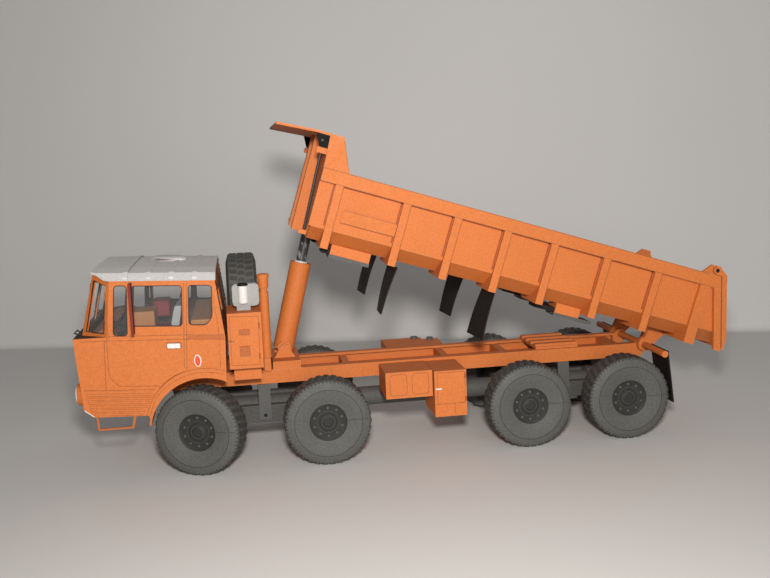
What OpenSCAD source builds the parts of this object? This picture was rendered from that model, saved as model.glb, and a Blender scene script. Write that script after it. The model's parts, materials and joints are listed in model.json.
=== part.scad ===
// Eight-wheel dump truck, a 1:32 card model that stands with its tipping bed half raised.
// Millimetres. X runs from the nose to the tail, -Y is the driver's side, the floor is Z = 0.
// Lengths along the truck are measured from the front axle, bed lengths from the tipping hinge.

/* [Wheels] */
// Outer radius of a tyre
tyre_r = 18.5; // [17:0.1:20]
// Width of the tread
tread_w = 10.4; // [8:0.1:12]
// How far a sidewall bulges past the tread
sidewall_bulge = 1.5; // [0.8:0.1:2]
// Radius of the rim inside the tyre
rim_r = 8; // [7:0.1:9]
// Middle plane of a tyre, from the middle of the truck
wheel_y = 32.8; // [32:0.1:35]
// Second axle, behind the front axle
axle_2_x = 51.6; // [48:0.2:54]
// Third axle, behind the front axle
axle_3_x = 140.3; // [137:0.2:143]
// Fourth axle, behind the front axle
axle_4_x = 185.6; // [183:0.2:188]
// Radius of an axle tube
axle_tube_r = 2.2; // [1.8:0.1:2.6]
// Radius of the stub that a wheel turns on
stub_r = 1.3; // [1:0.05:1.6]
// Clearance of every running fit, on the radius
running_fit = 0.06; // [0.03:0.01:0.09]

/* [Steering] */
// King pin, from the middle of the truck
king_pin_y = 28; // [26:0.1:29]
// Radius of a king pin
king_pin_r = 0.8; // [0.6:0.05:1]
// Angle at which the front wheels stand
steer_angle = -19; // [-28:1:28]

/* [Frame] */
// Outer face of a frame rail, from the middle
rail_y = 14.8; // [13:0.1:15.5]
// Height of a frame rail
rail_h = 6.1; // [5:0.1:7]
// Top of the frame above the floor
frame_top = 37.9; // [36:0.1:40]
// Width of a rail's flanges
flange_w = 4; // [3:0.1:5]
// Front end of the frame, from the front axle
frame_front_x = -38; // [-40:0.5:-30]
// Thickness of the card that plates and panels are made of
card = 1; // [0.8:0.05:1.2]
// Radius of the backbone tube
backbone_r = 4.3; // [3.6:0.1:5]
// Radius of a final drive casing
casing_r = 6; // [5:0.1:6.6]
// Length of a final drive casing
casing_l = 13; // [10:0.5:15]

/* [Cab] */
// Outer face of the cab's side, from the middle
cab_y = 38; // [36:0.1:39]
// Half width of the windscreen wall between its corner panels
screen_y = 30; // [27:0.1:32]
// Nose of the cab at the belt line
nose_x = -49.4; // [-52:0.1:-47]
// Height of the belt line
belt_z = 60.4; // [57:0.1:63]
// Underside of the cab at its front corner
cab_bottom_z = 28.6; // [27:0.1:31]
// Height of the eaves at the front
eave_z = 84; // [82:0.1:86]
// Height of the roof's fold above the eaves
roof_rise = 2.7; // [2:0.1:3.4]
// Rear of the cab at the belt line
cab_rear_x = 10.9; // [10:0.1:11.3]
// Radius of the wheel arch
arch_r = 22.2; // [21.6:0.1:23]

/* [Bed] */
// Angle to which the bed is tipped as it stands
bed_tilt = 17.7; // [0:0.1:30]
// Tipping hinge, from the front axle
hinge_x = 201.9; // [200:0.1:204]
// Tipping hinge above the floor
hinge_z = 37.4; // [36:0.1:39]
// Radius of the hinge tube
hinge_r = 1.5; // [1.2:0.05:1.8]
// Front wall of the bed, from the hinge
bed_l = 167; // [164:0.5:170]
// Outer face of the bed's rails and ribs, from the middle
bed_y = 39; // [37:0.1:40]
// Outer edge of the flat part of the floor
floor_y = 29; // [26:0.1:31]
// Underside of the floor above the hinge
floor_z = 9.3; // [8.8:0.1:10]
// Height at which the sloping floor meets the side, above the hinge
fold_z = 15; // [13:0.1:17]
// Top of the bed's rails above the hinge
rail_top = 39.5; // [37:0.1:42]
// Height of a bed rail
bed_rail_h = 5.6; // [4.5:0.1:7]
// Underside of the ribs above the hinge
rib_bottom = 7.3; // [6.8:0.1:7.8]
// Width of a rib
rib_w = 3.3; // [2.6:0.1:4]
// Reach of the canopy ahead of the hinge
canopy_l = 190.1; // [186:0.1:191]
// Underside of the canopy above the hinge
canopy_z = 52.3; // [51:0.1:54]
// How far the canopy's front edge droops below its fold
canopy_drop = 1.3; // [0.6:0.1:2]
// Slant of the bed's open end, which is upright when the bed stands as here
tail_slant = 17.7; // [14:0.1:20]

/* [Hoist] */
// Foot pivot of the hoist, from the front axle
hoist_x = 36; // [35:0.1:37]
// Foot pivot of the hoist above the floor
hoist_z = 45.3; // [44.6:0.1:46]
// Radius of the hoist's barrel
barrel_r = 4.7; // [4.2:0.1:5]
// Length of the barrel above its foot pivot
barrel_l = 39; // [37:0.1:39.5]
// Radius of the widest stage
stage_r = 2.25; // [2:0.05:2.6]
// Wall of each stage
stage_wall = 0.45; // [0.35:0.05:0.5]
// Eye of the hoist, from the hinge
eye_l = 165.8; // [165:0.1:167]
// Eye of the hoist above the hinge
eye_h = 48.5; // [48:0.1:49]

/* [Boxes] */
// Front end of the tool box
tool_box_x = 77.2; // [76:0.1:79]
// Length of the tool box
tool_box_l = 20.4; // [17:0.1:20.6]
// Front end of the battery box
battery_box_x = 98.1; // [98:0.1:100]
// Length of the battery box
battery_box_l = 14; // [10:0.1:17]

/* [Hidden] */
$fn = 48;

orange = "#e8823c";
card_white = "#f2f0ee";
card_grey = "#7f8485";
tyre_grey = "#6b6f70";
black = "#26272a";
gap = 0.2;              // between two pieces that lie against each other
over = 1;               // by which a cut passes a face

gate_t = 2.6;           // tail gate
gate_clear = 0.4;       // between the tail gate and the bed's open end
tail_foot = 25;         // open end of the bed behind the hinge, at the ribs' underside
handle_reach = 1.3;     // of the grab handles ahead of the nose
lamp_reach = 1.7;       // of the headlights ahead of the nose

// Open end of the bed at height z above the hinge
function tail_at(z) = tail_foot - (z - rib_bottom) * tan(tail_slant);

// The truck is centred between its headlights and the lowest outer corner of the tail gate
gate_corner = [tail_at(14) + gate_t + gate_clear, 14];
tail_x = hinge_x + gate_corner[0] * cos(bed_tilt) + gate_corner[1] * sin(bed_tilt);
front_axle_x = -(tail_x + nose_x - lamp_reach) / 2;

axle_z = tyre_r;
king_axle_gap = 2.7;    // from the king pin to the back of its fork
hub_back = 2;           // from a wheel's middle plane to the back of its hub
hub_front = 3.9;        // from a wheel's middle plane to the hub's outer face
stub_end = 2.7;
frame_bottom = frame_top - rail_h;

// ---------------------------------------------------------------- placing

module truck() { translate([front_axle_x, 0, 0]) children(); }

// Places children drawn in the bed's own frame: hinge at the origin, front wall at -bed_l
module bed_place() {
    truck() translate([hinge_x, 0, hinge_z]) rotate([0, bed_tilt, 0]) children();
}

module both_sides() {
    children();
    mirror([0, 1, 0]) children();
}

// A flat shape drawn in X and Z, given a thickness from y1 to y2
module plate_xz(y1, y2) {
    translate([0, y2, 0]) rotate([90, 0, 0]) linear_extrude(y2 - y1) children();
}

// A flat shape drawn in Y and Z, given a thickness from x1 to x2
module plate_yz(x1, x2) {
    translate([x1, 0, 0]) rotate([90, 0, 90]) linear_extrude(x2 - x1) children();
}

module block(low, high) { translate(low) cube(high - low); }

module rod_y(r, y1, y2) { translate([0, y1, 0]) rotate([-90, 0, 0]) cylinder(r = r, h = y2 - y1); }

// ---------------------------------------------------------------- wheels

// Half width of the tyre where the sidewall folds
tyre_half = tread_w / 2 + sidewall_bulge;
bead_half = tread_w / 2;

module tyre() {
    rotate_extrude($fn = 96)
        polygon([
            [rim_r + running_fit, -bead_half], [tyre_r * 0.78, -tyre_half],
            [tyre_r - 0.4, -tread_w / 2 - 0.3], [tyre_r, -tread_w / 2 + 0.2],
            [tyre_r, tread_w / 2 - 0.2], [tyre_r - 0.4, tread_w / 2 + 0.3],
            [tyre_r * 0.78, tyre_half], [rim_r + running_fit, bead_half],
        ]);
}

module hub() {
    difference() {
        union() {
            translate([0, 0, -bead_half]) cylinder(r = rim_r, h = bead_half + hub_front, $fn = 64);
            translate([0, 0, hub_front]) cylinder(r = 3.6, h = 0.3);
            translate([0, 0, hub_front]) cylinder(r = 2.3, h = 0.7);
        }
        difference() {
            translate([0, 0, -bead_half - over]) cylinder(r = rim_r - card, h = bead_half + over + card);
            translate([0, 0, -hub_back]) cylinder(r = 3, h = hub_back + card + over);
        }
        translate([0, 0, -hub_back - over]) cylinder(r = stub_r + running_fit, h = hub_back + over + stub_end + gap);
    }
}

module wheel(side) {
    rotate([-90 * side, 0, 0]) {
        tyre();
        hub();
    }
}

module fixed_wheel(x, side) {
    color(tyre_grey) truck() translate([x, side * wheel_y, axle_z]) wheel(side);
}

module steered(side) {
    truck() translate([0, side * king_pin_y, axle_z]) rotate([0, 0, steer_angle]) children();
}

module steered_wheel(side) {
    color(tyre_grey) steered(side) translate([0, side * (wheel_y - king_pin_y), 0]) wheel(side);
}

module knuckle(side) {
    color(card_grey) steered(side) {
        block([-1.6, -1.6, -2], [1.6, 1.6, 2]);
        cylinder(r = king_pin_r, h = 7, center = true);
        mirror([0, side < 0 ? 1 : 0, 0]) rod_y(stub_r, 1, wheel_y - king_pin_y + stub_end);
    }
}

// ---------------------------------------------------------------- running gear

module axle_tubes() {
    color(card_grey) truck() both_sides() {
        for (x = [axle_2_x, axle_3_x, axle_4_x]) translate([x, 0, axle_z]) {
            rod_y(axle_tube_r, casing_r - 2, wheel_y - hub_back - gap);
            rod_y(stub_r, casing_r, wheel_y + stub_end);
        }
        translate([0, 0, axle_z]) {
            rod_y(axle_tube_r, casing_r - 2, king_pin_y - king_axle_gap - 1);
            block([-1.8, king_pin_y - king_axle_gap - 1.6, -3.5], [1.8, king_pin_y - king_axle_gap, 3.5]);
            for (low = [-3.5, 2.2]) difference() {
                union() {
                    block([-1.8, king_pin_y - king_axle_gap - 1, low], [1.8, king_pin_y, low + 1.3]);
                    translate([0, king_pin_y, low]) cylinder(r = 1.8, h = 1.3);
                }
                translate([0, king_pin_y, low - over]) cylinder(r = king_pin_r + running_fit, h = 1.3 + 2 * over);
            }
        }
    }
}

module backbone_tube() {
    axis_z = axle_z + 0.5;
    color(card_grey) truck() difference() {
        union() {
            translate([-8, 0, axis_z]) rotate([0, 90, 0]) cylinder(r = backbone_r, h = axle_4_x + 14);
            for (x = [0, axle_2_x, axle_3_x, axle_4_x])
                translate([x - casing_l / 2, 0, axis_z]) rotate([0, 90, 0]) cylinder(r = casing_r, h = casing_l);
        }
        for (x = [0, axle_2_x, axle_3_x, axle_4_x])
            translate([x, 0, axle_z]) rod_y(axle_tube_r + gap, -casing_r - over, casing_r + over);
    }
}

spring_y = [11, 15];
leaf_t = 1.15;
leaves = 7;
leaf_step = 2.4;

// Leaf springs lie along the truck, with their ends over two axles
module leaf_springs() {
    color(card_grey) truck() both_sides()
        for (pair = [[0, axle_2_x], [axle_3_x, axle_4_x]]) {
            middle = (pair[0] + pair[1]) / 2;
            longest = (pair[1] - pair[0]) / 2 + 1.5;
            top = axle_z + axle_tube_r + gap + leaf_t;
            for (i = [0 : leaves - 1])
                let (half = longest - i * leaf_step - (i > 0 ? 3 : 0))
                    block([middle - half, spring_y[0], top - (i + 1) * leaf_t],
                          [middle + half, spring_y[1], top - i * leaf_t]);
        }
}

// A hanger drops from each rail to its spring pack
module spring_hangers() {
    color(card_grey) truck() both_sides()
        for (pair = [[0, axle_2_x], [axle_3_x, axle_4_x]]) {
            middle = (pair[0] + pair[1]) / 2;
            face = spring_y[1] + gap;
            difference() {
                union() {
                    block([middle - 2.6, face, 16], [middle + 2.6, face + card, frame_bottom]);
                    block([middle - 2.6, rail_y - flange_w + gap, frame_bottom - card],
                          [middle + 2.6, face + card, frame_bottom]);
                }
                translate([middle, 0, 17.9]) rod_y(0.6, face - over, face + card + over);
            }
        }
}

// ---------------------------------------------------------------- frame

hinge_lug_r = 3;
cross_x = [-34, 14, 62, 108, 136, 190];

module chassis_frame() {
    rail_end = hinge_x;
    color(orange) truck() difference() {
        union() {
            both_sides() difference() {
                block([frame_front_x, rail_y - flange_w, frame_bottom], [rail_end, rail_y, frame_top]);
                block([frame_front_x - over, rail_y - flange_w - over, frame_bottom + card],
                      [rail_end - 4, rail_y - card, frame_top - card]);
            }
            both_sides() translate([hinge_x, 0, hinge_z - 0.8]) rod_y(hinge_lug_r, rail_y - flange_w, rail_y);
            for (x = cross_x)
                block([x, card - rail_y, frame_bottom + card], [x + 3, rail_y - card, frame_top - card]);
        }
        translate([hinge_x, 0, hinge_z]) rod_y(hinge_r + gap / 2, -rail_y - over, rail_y + over);
    }
}

// The bed comes down on this ridged pad
module bed_rest_pad() {
    color(orange) truck() {
        block([151, -13, frame_top], [171, 13, frame_top + card]);
        for (y = [-10.5, -3.5, 3.5, 10.5])
            block([151, y - 1.5, frame_top + card], [171, y + 1.5, frame_top + card + 1.2]);
    }
}

module hinge_tube() {
    color(orange) truck() translate([hinge_x, 0, hinge_z]) rod_y(hinge_r, -bed_y, bed_y);
}

module rear_mudflaps() {
    top_x = hinge_x + hinge_r;
    color(black) truck() both_sides() plate_xz(21, bed_y - 0.5)
        polygon([
            [top_x, hinge_z + 1.2], [top_x, hinge_z], [top_x + 2.6, 15], [top_x + 3.1, 15],
            [top_x + 0.5, hinge_z], [top_x + 0.5, hinge_z + 1.2],
        ]);
}

// ---------------------------------------------------------------- boxes on the frame

box_back = rail_y + gap;

module tool_box() {
    color(orange) truck()
        block([tool_box_x, -34.5, 25.6], [tool_box_x + tool_box_l, -box_back, 37.1]);
}

module battery_box() {
    color(orange) truck()
        block([battery_box_x, -36.6, 16.6], [battery_box_x + battery_box_l, -box_back, 36.8]);
}

tank_x = 85.8;
tank_l = 20;
tank_top = 37.6;

module fuel_tank() {
    color(orange) truck() {
        block([tank_x, box_back, 20], [tank_x + tank_l, 36, tank_top]);
        block([tank_x + tank_l + gap, box_back, 20], [tank_x + tank_l + gap + 8.5, 36, tank_top - 1]);
    }
}

module tank_caps() {
    color(card_grey) truck() {
        translate([tank_x + tank_l - 3.6, 33, tank_top]) cylinder(r = 1.8, h = 1);
        translate([tank_x + tank_l + 4.4, 33, tank_top - 1]) cylinder(r = 1.6, h = 1.3);
    }
}

ear_half = 5.6;
ear_t = 1.2;

module hoist_base() {
    color(orange) truck() difference() {
        union() {
            block([30.3, -rail_y, frame_top], [42.5, rail_y, frame_top + 3.4]);
            both_sides() plate_xz(ear_half, ear_half + ear_t)
                hull() {
                    translate([hoist_x - 4.6, frame_top + 3.3]) square([9.2, 0.1]);
                    translate([hoist_x, hoist_z]) circle(r = 2);
                }
        }
        translate([hoist_x, 0, hoist_z]) rod_y(1 + running_fit, -ear_half - ear_t - over, ear_half + ear_t + over);
    }
}

equip_x = [12, 25.9];
equip_y = [-36, -12.5];
equip_z = [44, 67.4];

module equipment_box() {
    color(orange) truck() {
        block([equip_x[0], equip_y[0], equip_z[0]], [equip_x[1], equip_y[1], equip_z[1]]);
        block([equip_x[0] + 1.5, -30, frame_top], [equip_x[1] - 1, -rail_y + flange_w, equip_z[0]]);
    }
}

stack_at = [27.2, -10.2];

module intake_stack() {
    color(orange) truck() translate([stack_at[0] + 1, stack_at[1] - 6, 0]) {
        block([-1.6, -1, frame_top], [1.6, 4, 44]);
        translate([0, 0, 44]) cylinder(r = 1.95, h = 30.2);
        translate([0, 0, 74.2]) cylinder(r = 2.5, h = 6);
        translate([0, 0, 80.2]) cylinder(r1 = 2.5, r2 = 1.6, h = 0.8);
    }
}

spare_at = [18.8, 7, 69.6];

module spare_tyre() {
    color(tyre_grey) truck() translate(spare_at) rotate([0, -90, 0]) {
        tyre();
        hub();
    }
}

module spare_carrier() {
    plate_x = spare_at[0] + tyre_half + gap;
    color(orange) truck() {
        difference() {
            block([plate_x, spare_at[1] - 4, frame_top], [plate_x + card, spare_at[1] + 4, spare_at[2] + 4]);
        }
        translate([plate_x - tyre_half - gap + hub_back + 0.6, spare_at[1], spare_at[2]])
            rotate([0, 90, 0]) cylinder(r = 2, h = tyre_half - hub_back - 0.2);
        block([equip_x[0], -rail_y + flange_w + gap, frame_top], [plate_x + card, rail_y, frame_top + card]);
    }
}

module filter_case() {
    color("#b9bcbc") truck() translate([19, -27, equip_z[1]]) {
        block([-4.5, -2.4, 1.9], [4.5, 2.4, 11.1]);
        block([-2.9, -1.6, 0], [2.9, 1.6, 1.9]);
        translate([0, -2.4, 3.1]) {
            cylinder(r = 2.05, h = 7.7);
            translate([0, 0, 7.7]) cylinder(r = 1.9, h = 0.8);
        }
    }
}

// ---------------------------------------------------------------- cab

belt_front_x = nose_x + 13.4;   // rear edge of the corner panels at the belt
screen_foot_x = nose_x + 2.5;
screen_top_x = nose_x + 8.6;
eave_front_x = nose_x + 15.9;
eave_rear_x = cab_rear_x - 2.8;
eave_rear_z = eave_z - 2;
arch_centre = [0.5, 19.5];

module side_outline() {
    difference() {
        polygon([
            [nose_x, belt_z], [nose_x + 2, cab_bottom_z + 3.3], [nose_x + 6.1, cab_bottom_z],
            [-22, cab_bottom_z - 0.9], [-20, 22.5], [cab_rear_x, 30], [cab_rear_x - 0.5, 41.4],
            [cab_rear_x, 58.2], [eave_rear_x, eave_rear_z], [eave_front_x, eave_z],
            [belt_front_x, belt_z + 1.4], [belt_front_x, belt_z],
        ]);
        translate(arch_centre) circle(r = arch_r, $fn = 96);
    }
}

module rounded(points, r = 1.2) { offset(r = r) offset(delta = -r) polygon(points); }

module side_windows() {
    rounded([[-33.6, 61.8], [-28, 61.4], [-26.9, 81.8], [-31.8, 82.1]]);
    rounded([[-26, 65.2], [-6, 64], [-5.2, 80.6], [-25, 81.6]]);
    rounded([[-3.4, 64.3], [3.6, 63.8], [6.2, 67], [6.6, 80], [-2.6, 80.6]]);
}

module cab_side(side) {
    color(orange) truck() mirror([0, side > 0 ? 0 : 1, 0])
        plate_xz(cab_y - card, cab_y) difference() {
            side_outline();
            side_windows();
        }
}

// The lower front: nose panel, its chamfered foot, and the ledge at the belt
module cab_front() {
    inner = cab_y - card - 0.02;
    color(orange) truck() {
        plate_xz(-inner, inner)
            polygon([
                [nose_x, belt_z], [nose_x + 2, cab_bottom_z + 3.3], [nose_x + 6.1, cab_bottom_z],
                [nose_x + 6.3, cab_bottom_z + card], [nose_x + 3, cab_bottom_z + 3.9], [nose_x + card, belt_z],
            ]);
        translate([0, 0, belt_z])
            linear_extrude(card)
                polygon([
                    [nose_x, -cab_y], [belt_front_x - 0.1, -cab_y], [belt_front_x - 0.1, -cab_y + card],
                    [screen_foot_x + 1.6, -screen_y + 0.5], [screen_foot_x + 1.6, screen_y - 0.5],
                    [belt_front_x - 0.1, cab_y - card], [belt_front_x - 0.1, cab_y], [nose_x, cab_y],
                ]);
    }
}

function mix(a, b, t) = a + (b - a) * t;

// A four-cornered slab that may twist, from its outer corners inwards by a vector
module slab(corners, inward, outward = 0) {
    hull() for (p = corners, v = [-inward * outward, inward])
        translate(p + v) cube(0.02, center = true);
}

// The four corners shrunk towards each other by shares of the panel
function shrink(c, side, foot, head) = [
    mix(mix(c[0], c[1], side), mix(c[3], c[2], side), foot),
    mix(mix(c[1], c[0], side), mix(c[2], c[3], side), foot),
    mix(mix(c[1], c[0], side), mix(c[2], c[3], side), 1 - head),
    mix(mix(c[0], c[1], side), mix(c[3], c[2], side), 1 - head),
];

screen_z = [belt_z + card + 0.02, eave_z + roof_rise];
corner_in = [0.8, 0.6, 0];
corner_panel = [
    [screen_foot_x, -screen_y, screen_z[0]], [belt_front_x, -cab_y + 0.05, screen_z[0]],
    [eave_front_x, -cab_y + 0.05, eave_z], [screen_top_x, -screen_y, screen_z[1]],
];

roof_pitch = atan2(eave_z - eave_rear_z, eave_rear_x - eave_front_x);
roof_fold_y = cab_y - 5;
roof_crown_y = 20;

// The roof's own frame has its origin at the front end of the eaves
module roof_place() { translate([eave_front_x, 0, eave_z]) rotate([0, roof_pitch, 0]) children(); }

module roof_top(rise, y_in) {
    polygon([
        [-cab_y + y_in, 0], [-roof_fold_y + y_in * 0.15, roof_rise + rise], [-roof_crown_y, roof_rise + 0.8 + rise],
        [roof_crown_y, roof_rise + 0.8 + rise], [roof_fold_y - y_in * 0.15, roof_rise + rise], [cab_y - y_in, 0],
    ]);
}

module roof_plan() {
    polygon([
        [screen_top_x - 0.6, -screen_y - 0.4], [screen_top_x - 0.6, screen_y + 0.4], [eave_front_x - 0.3, cab_y],
        [eave_rear_x + 0.3, cab_y], [eave_rear_x + 0.3, -cab_y], [eave_front_x - 0.3, -cab_y],
    ]);
}

roof_in = 2.1;

module cab_roof() {
    color(card_white) truck() {
        intersection() {
            translate([0, 0, eave_rear_z - 2]) linear_extrude(12) roof_plan();
            roof_place() translate([0, 0, 0.02]) difference() {
                plate_yz(-20, 60) roof_top(0, 0);
                plate_yz(-20 - over, 60 + over) translate([0, -0.01]) roof_top(-card, roof_in);
            }
        }
        roof_place() translate([20, 11.5, roof_rise + 0.82]) cylinder(r = 8, h = 1);
    }
}

module under_roof() {
    roof_place() plate_yz(-20, 60) union() {
        roof_top(-card - 0.02, roof_in);
        translate([-cab_y, -40]) square([2 * cab_y, 40]);
    }
}

module windscreen_pane_cut() {
    for (side = [-1, 1])
        offset(r = 1.2) offset(delta = -1.2)
            polygon([
                [side * 1.2, belt_z + 2.6], [side * (screen_y - 1.4), belt_z + 2.6],
                [side * (screen_y - 1.4), eave_z + 0.4], [side * 1.2, eave_z + 1.2],
            ]);
}

module windscreen_frame() {
    color(orange) truck() intersection() {
        under_roof();
        union() {
            difference() {
                plate_xz(-screen_y, screen_y)
                    polygon([
                        [screen_foot_x, screen_z[0]], [screen_top_x, screen_z[1]],
                        [screen_top_x + card, screen_z[1]], [screen_foot_x + card, screen_z[0]],
                    ]);
                plate_yz(screen_foot_x - over, screen_top_x + 2 * over) windscreen_pane_cut();
            }
            both_sides() difference() {
                slab(corner_panel, corner_in);
                slab(shrink(corner_panel, 0.13, 0.06, 0.1), corner_in * 3, 1);
                plate_xz(-cab_y - over, -cab_y + card + 0.03) offset(delta = 0.03) side_outline();
            }
        }
    }
}

module cab_glass() {
    pane = 0.3;
    color([0.75, 0.8, 0.82, 0.4]) truck() {
        both_sides() {
            plate_xz(cab_y - card - pane - 0.05, cab_y - card - 0.05) offset(delta = 0.5) side_windows();
            translate(corner_in * 1.45) slab(shrink(corner_panel, 0.12, 0.05, 0.12), corner_in * 0.3);
        }
        intersection() {
            plate_xz(-screen_y, screen_y)
                polygon([
                    [screen_foot_x + card + 0.1, screen_z[0]], [screen_top_x + card + 0.1, screen_z[1]],
                    [screen_top_x + card + 0.4, screen_z[1]], [screen_foot_x + card + 0.4, screen_z[0]],
                ]);
            plate_yz(-60, 0) for (side = [-1, 1])
                translate([side > 0 ? 0.8 : 0.8 - screen_y, belt_z + 2])
                    square([screen_y - 1.6, eave_z - belt_z - 1]);
        }
        plate_xz_rear_glass();
    }
}

rear_lean = [[cab_rear_x - 0.5, 41.4], [cab_rear_x, 58.2], [eave_rear_x, eave_rear_z]];

module rear_sheet(back, front) {
    plate_xz(-cab_y + card + 0.02, cab_y - card - 0.02)
        polygon(concat(
            [for (p = rear_lean) [p[0] - back, p[1]]],
            [for (i = [2 : -1 : 0]) [rear_lean[i][0] - front, rear_lean[i][1]]]));
}

module rear_windows(grow) {
    for (side = [-1, 1]) translate([side * 19, 71]) square([24 + grow, 12 + grow], center = true);
}

module plate_xz_rear_glass() {
    intersection() {
        rear_sheet(card + 0.05, card + 0.35);
        plate_yz(-10, 20) rear_windows(1);
    }
}

module cab_rear_wall() {
    color(orange) truck() difference() {
        rear_sheet(0, card);
        plate_yz(-10, 20) rear_windows(0);
    }
}

floor_top = 43.6;

module cab_floor() {
    inner = cab_y - card - 0.1;
    color(orange) truck() {
        block([nose_x + 3.4, -inner, floor_top - card], [cab_rear_x - 1.7, inner, floor_top]);
        both_sides() {
            intersection() {
                plate_xz(rail_y + 2.6, inner) translate(arch_centre) difference() {
                    circle(r = arch_r + 0.8, $fn = 96);
                    circle(r = arch_r, $fn = 96);
                }
                block([-22, 0, 23], [cab_rear_x - 1, cab_y, floor_top - card / 2]);
            }
            for (x = [-32, 4]) block([x, 9, frame_top], [x + 4, 14, floor_top - card]);
        }
    }
}

module dashboard() {
    color("#a5622f") truck() {
        plate_xz(-29, 29)
            polygon([[-44.6, 58.6], [-36.5, 60.4], [-36, 62.2], [-37.5, 63.6], [-44.4, 60.6]]);
        block([-43, -8, floor_top], [-14, 8, 57]);
    }
}

module steering_wheel() {
    color(black) truck() translate([-31.5, -19, 61.5]) rotate([0, 35, 0]) {
        rotate_extrude($fn = 64) translate([5, 0]) circle(r = 0.5, $fn = 16);
        for (a = [0, 120, 240]) rotate([0, 0, a]) block([0, -0.4, -0.3], [4.8, 0.4, 0.3]);
        translate([0, 0, -21]) cylinder(r = 0.7, h = 21.4);
        cylinder(r = 1.3, h = 0.8, center = true);
    }
}

module seat(y) {
    translate([0, y, 0]) {
        block([-22, -6, floor_top], [-11, 6, 55]);
        plate_xz(-6, 6) polygon([[-13, 55], [-10, 55], [-7, 70], [-9, 70]]);
    }
}

module cab_seats() {
    color("#7d2226") truck() {
        both_sides() seat(20);
        block([1, -30, floor_top], [8, 30, 54]);
    }
}

lamp_y = 30;
lamp_z = 37.4;

module headlights() {
    color("#d9d9d9") truck() both_sides()
        translate([nose_x - lamp_reach, lamp_y, lamp_z]) rotate([0, 90, 0]) {
            difference() {
                cylinder(r = 3.8, h = 3);
                translate([0, 0, -over]) cylinder(r = 3.1, h = over + 0.8);
            }
        }
}

module mirrors() {
    color("#6d1f1c") truck() both_sides() {
        block([-25.5, 40.5, 63], [-24.5, 46, 83.3]);
        for (z = [64.5, 82.4]) translate([-25, 0, z]) rod_y(0.35, cab_y, 40.6);
    }
}

module cab_steps() {
    w = 0.7;
    foot = cab_bottom_z - 6;
    color(orange) truck() both_sides() plate_xz(36.2, 36.2 + w) difference() {
        polygon([[-43, cab_bottom_z], [-42.5, foot], [-28.3, foot], [-27, cab_bottom_z - 0.8]]);
        polygon([[-43 + w, cab_bottom_z + over], [-42.5 + w, foot + w], [-28.3 - w, foot + w], [-27 - w, cab_bottom_z + over]]);
    }
}

module nose_handles() {
    z0 = belt_z + card;
    left = nose_x - handle_reach;
    color(black) truck() both_sides() plate_xz(27.7, 28.3) difference() {
        polygon([[left, z0 + 0.7], [nose_x + 0.1, z0], [nose_x + 1.5, z0], [nose_x + 1.9, z0 + 0.9], [nose_x + 0.5, z0 + 2.3]]);
        polygon([[left + 0.85, z0 + 0.75], [nose_x + 0.8, z0 + 0.5], [nose_x + 1.15, z0 + 0.85], [nose_x + 0.5, z0 + 1.55]]);
    }
}

// ---------------------------------------------------------------- bed

fold_angle = atan2(fold_z - floor_z, bed_y - 2 - floor_y);
panel_y = bed_y - 2;
ribs_at = [158.7, 129.5, 107, 84.5, 62.9, 38.3, 13.8];
last_rib_at = -9;
well_y = 8;
well_l = 152.5;
well_bend_z = 39.6;
well_top_l = 159;

// Cuts what it is given along the bed's slanted open end, set back by a distance
module cut_tail(back = 0) {
    difference() {
        children();
        plate_xz(-bed_y - over, bed_y + over)
            polygon([
                [tail_at(-5) - back, -5], [80, -5], [80, 60], [tail_at(60) - back, 60],
            ]);
    }
}

module floor_section() {
    polygon([
        [-panel_y, fold_z], [-floor_y, floor_z], [floor_y, floor_z], [panel_y, fold_z],
        [panel_y - card, fold_z + card * tan(45 - fold_angle / 2)],
        [floor_y - card * tan(fold_angle / 2), floor_z + card],
        [card * tan(fold_angle / 2) - floor_y, floor_z + card],
        [card - panel_y, fold_z + card * tan(45 - fold_angle / 2)],
    ]);
}

bracket_y = [rail_y + 0.4, rail_y + 2.6];

module bed_floor() {
    color(orange) bed_place() {
        cut_tail() difference() {
            plate_yz(-bed_l + card, tail_foot + 5) floor_section();
            block([-bed_l, -well_y, floor_z - over], [-well_l, well_y, floor_z + 2]);
        }
        both_sides() difference() {
            plate_xz(bracket_y[0], bracket_y[1]) union() {
                polygon([[-3, 0], [-1.5, floor_z], [9.5, floor_z], [3, 0]]);
                circle(r = 3);
            }
            rod_y(hinge_r + running_fit, bracket_y[0] - over, bracket_y[1] + over);
        }
    }
}

module rib(x, w) {
    plate_yz(x - w / 2, x + w / 2)
        polygon([
            [panel_y, bed_rail_z], [bed_y, bed_rail_z], [bed_y, rib_bottom], [17.8, rib_bottom], [17.8, floor_z],
            [floor_y, floor_z], [panel_y, fold_z],
        ]);
}

bed_rail_z = rail_top - bed_rail_h;
guard_z = canopy_z;

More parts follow.
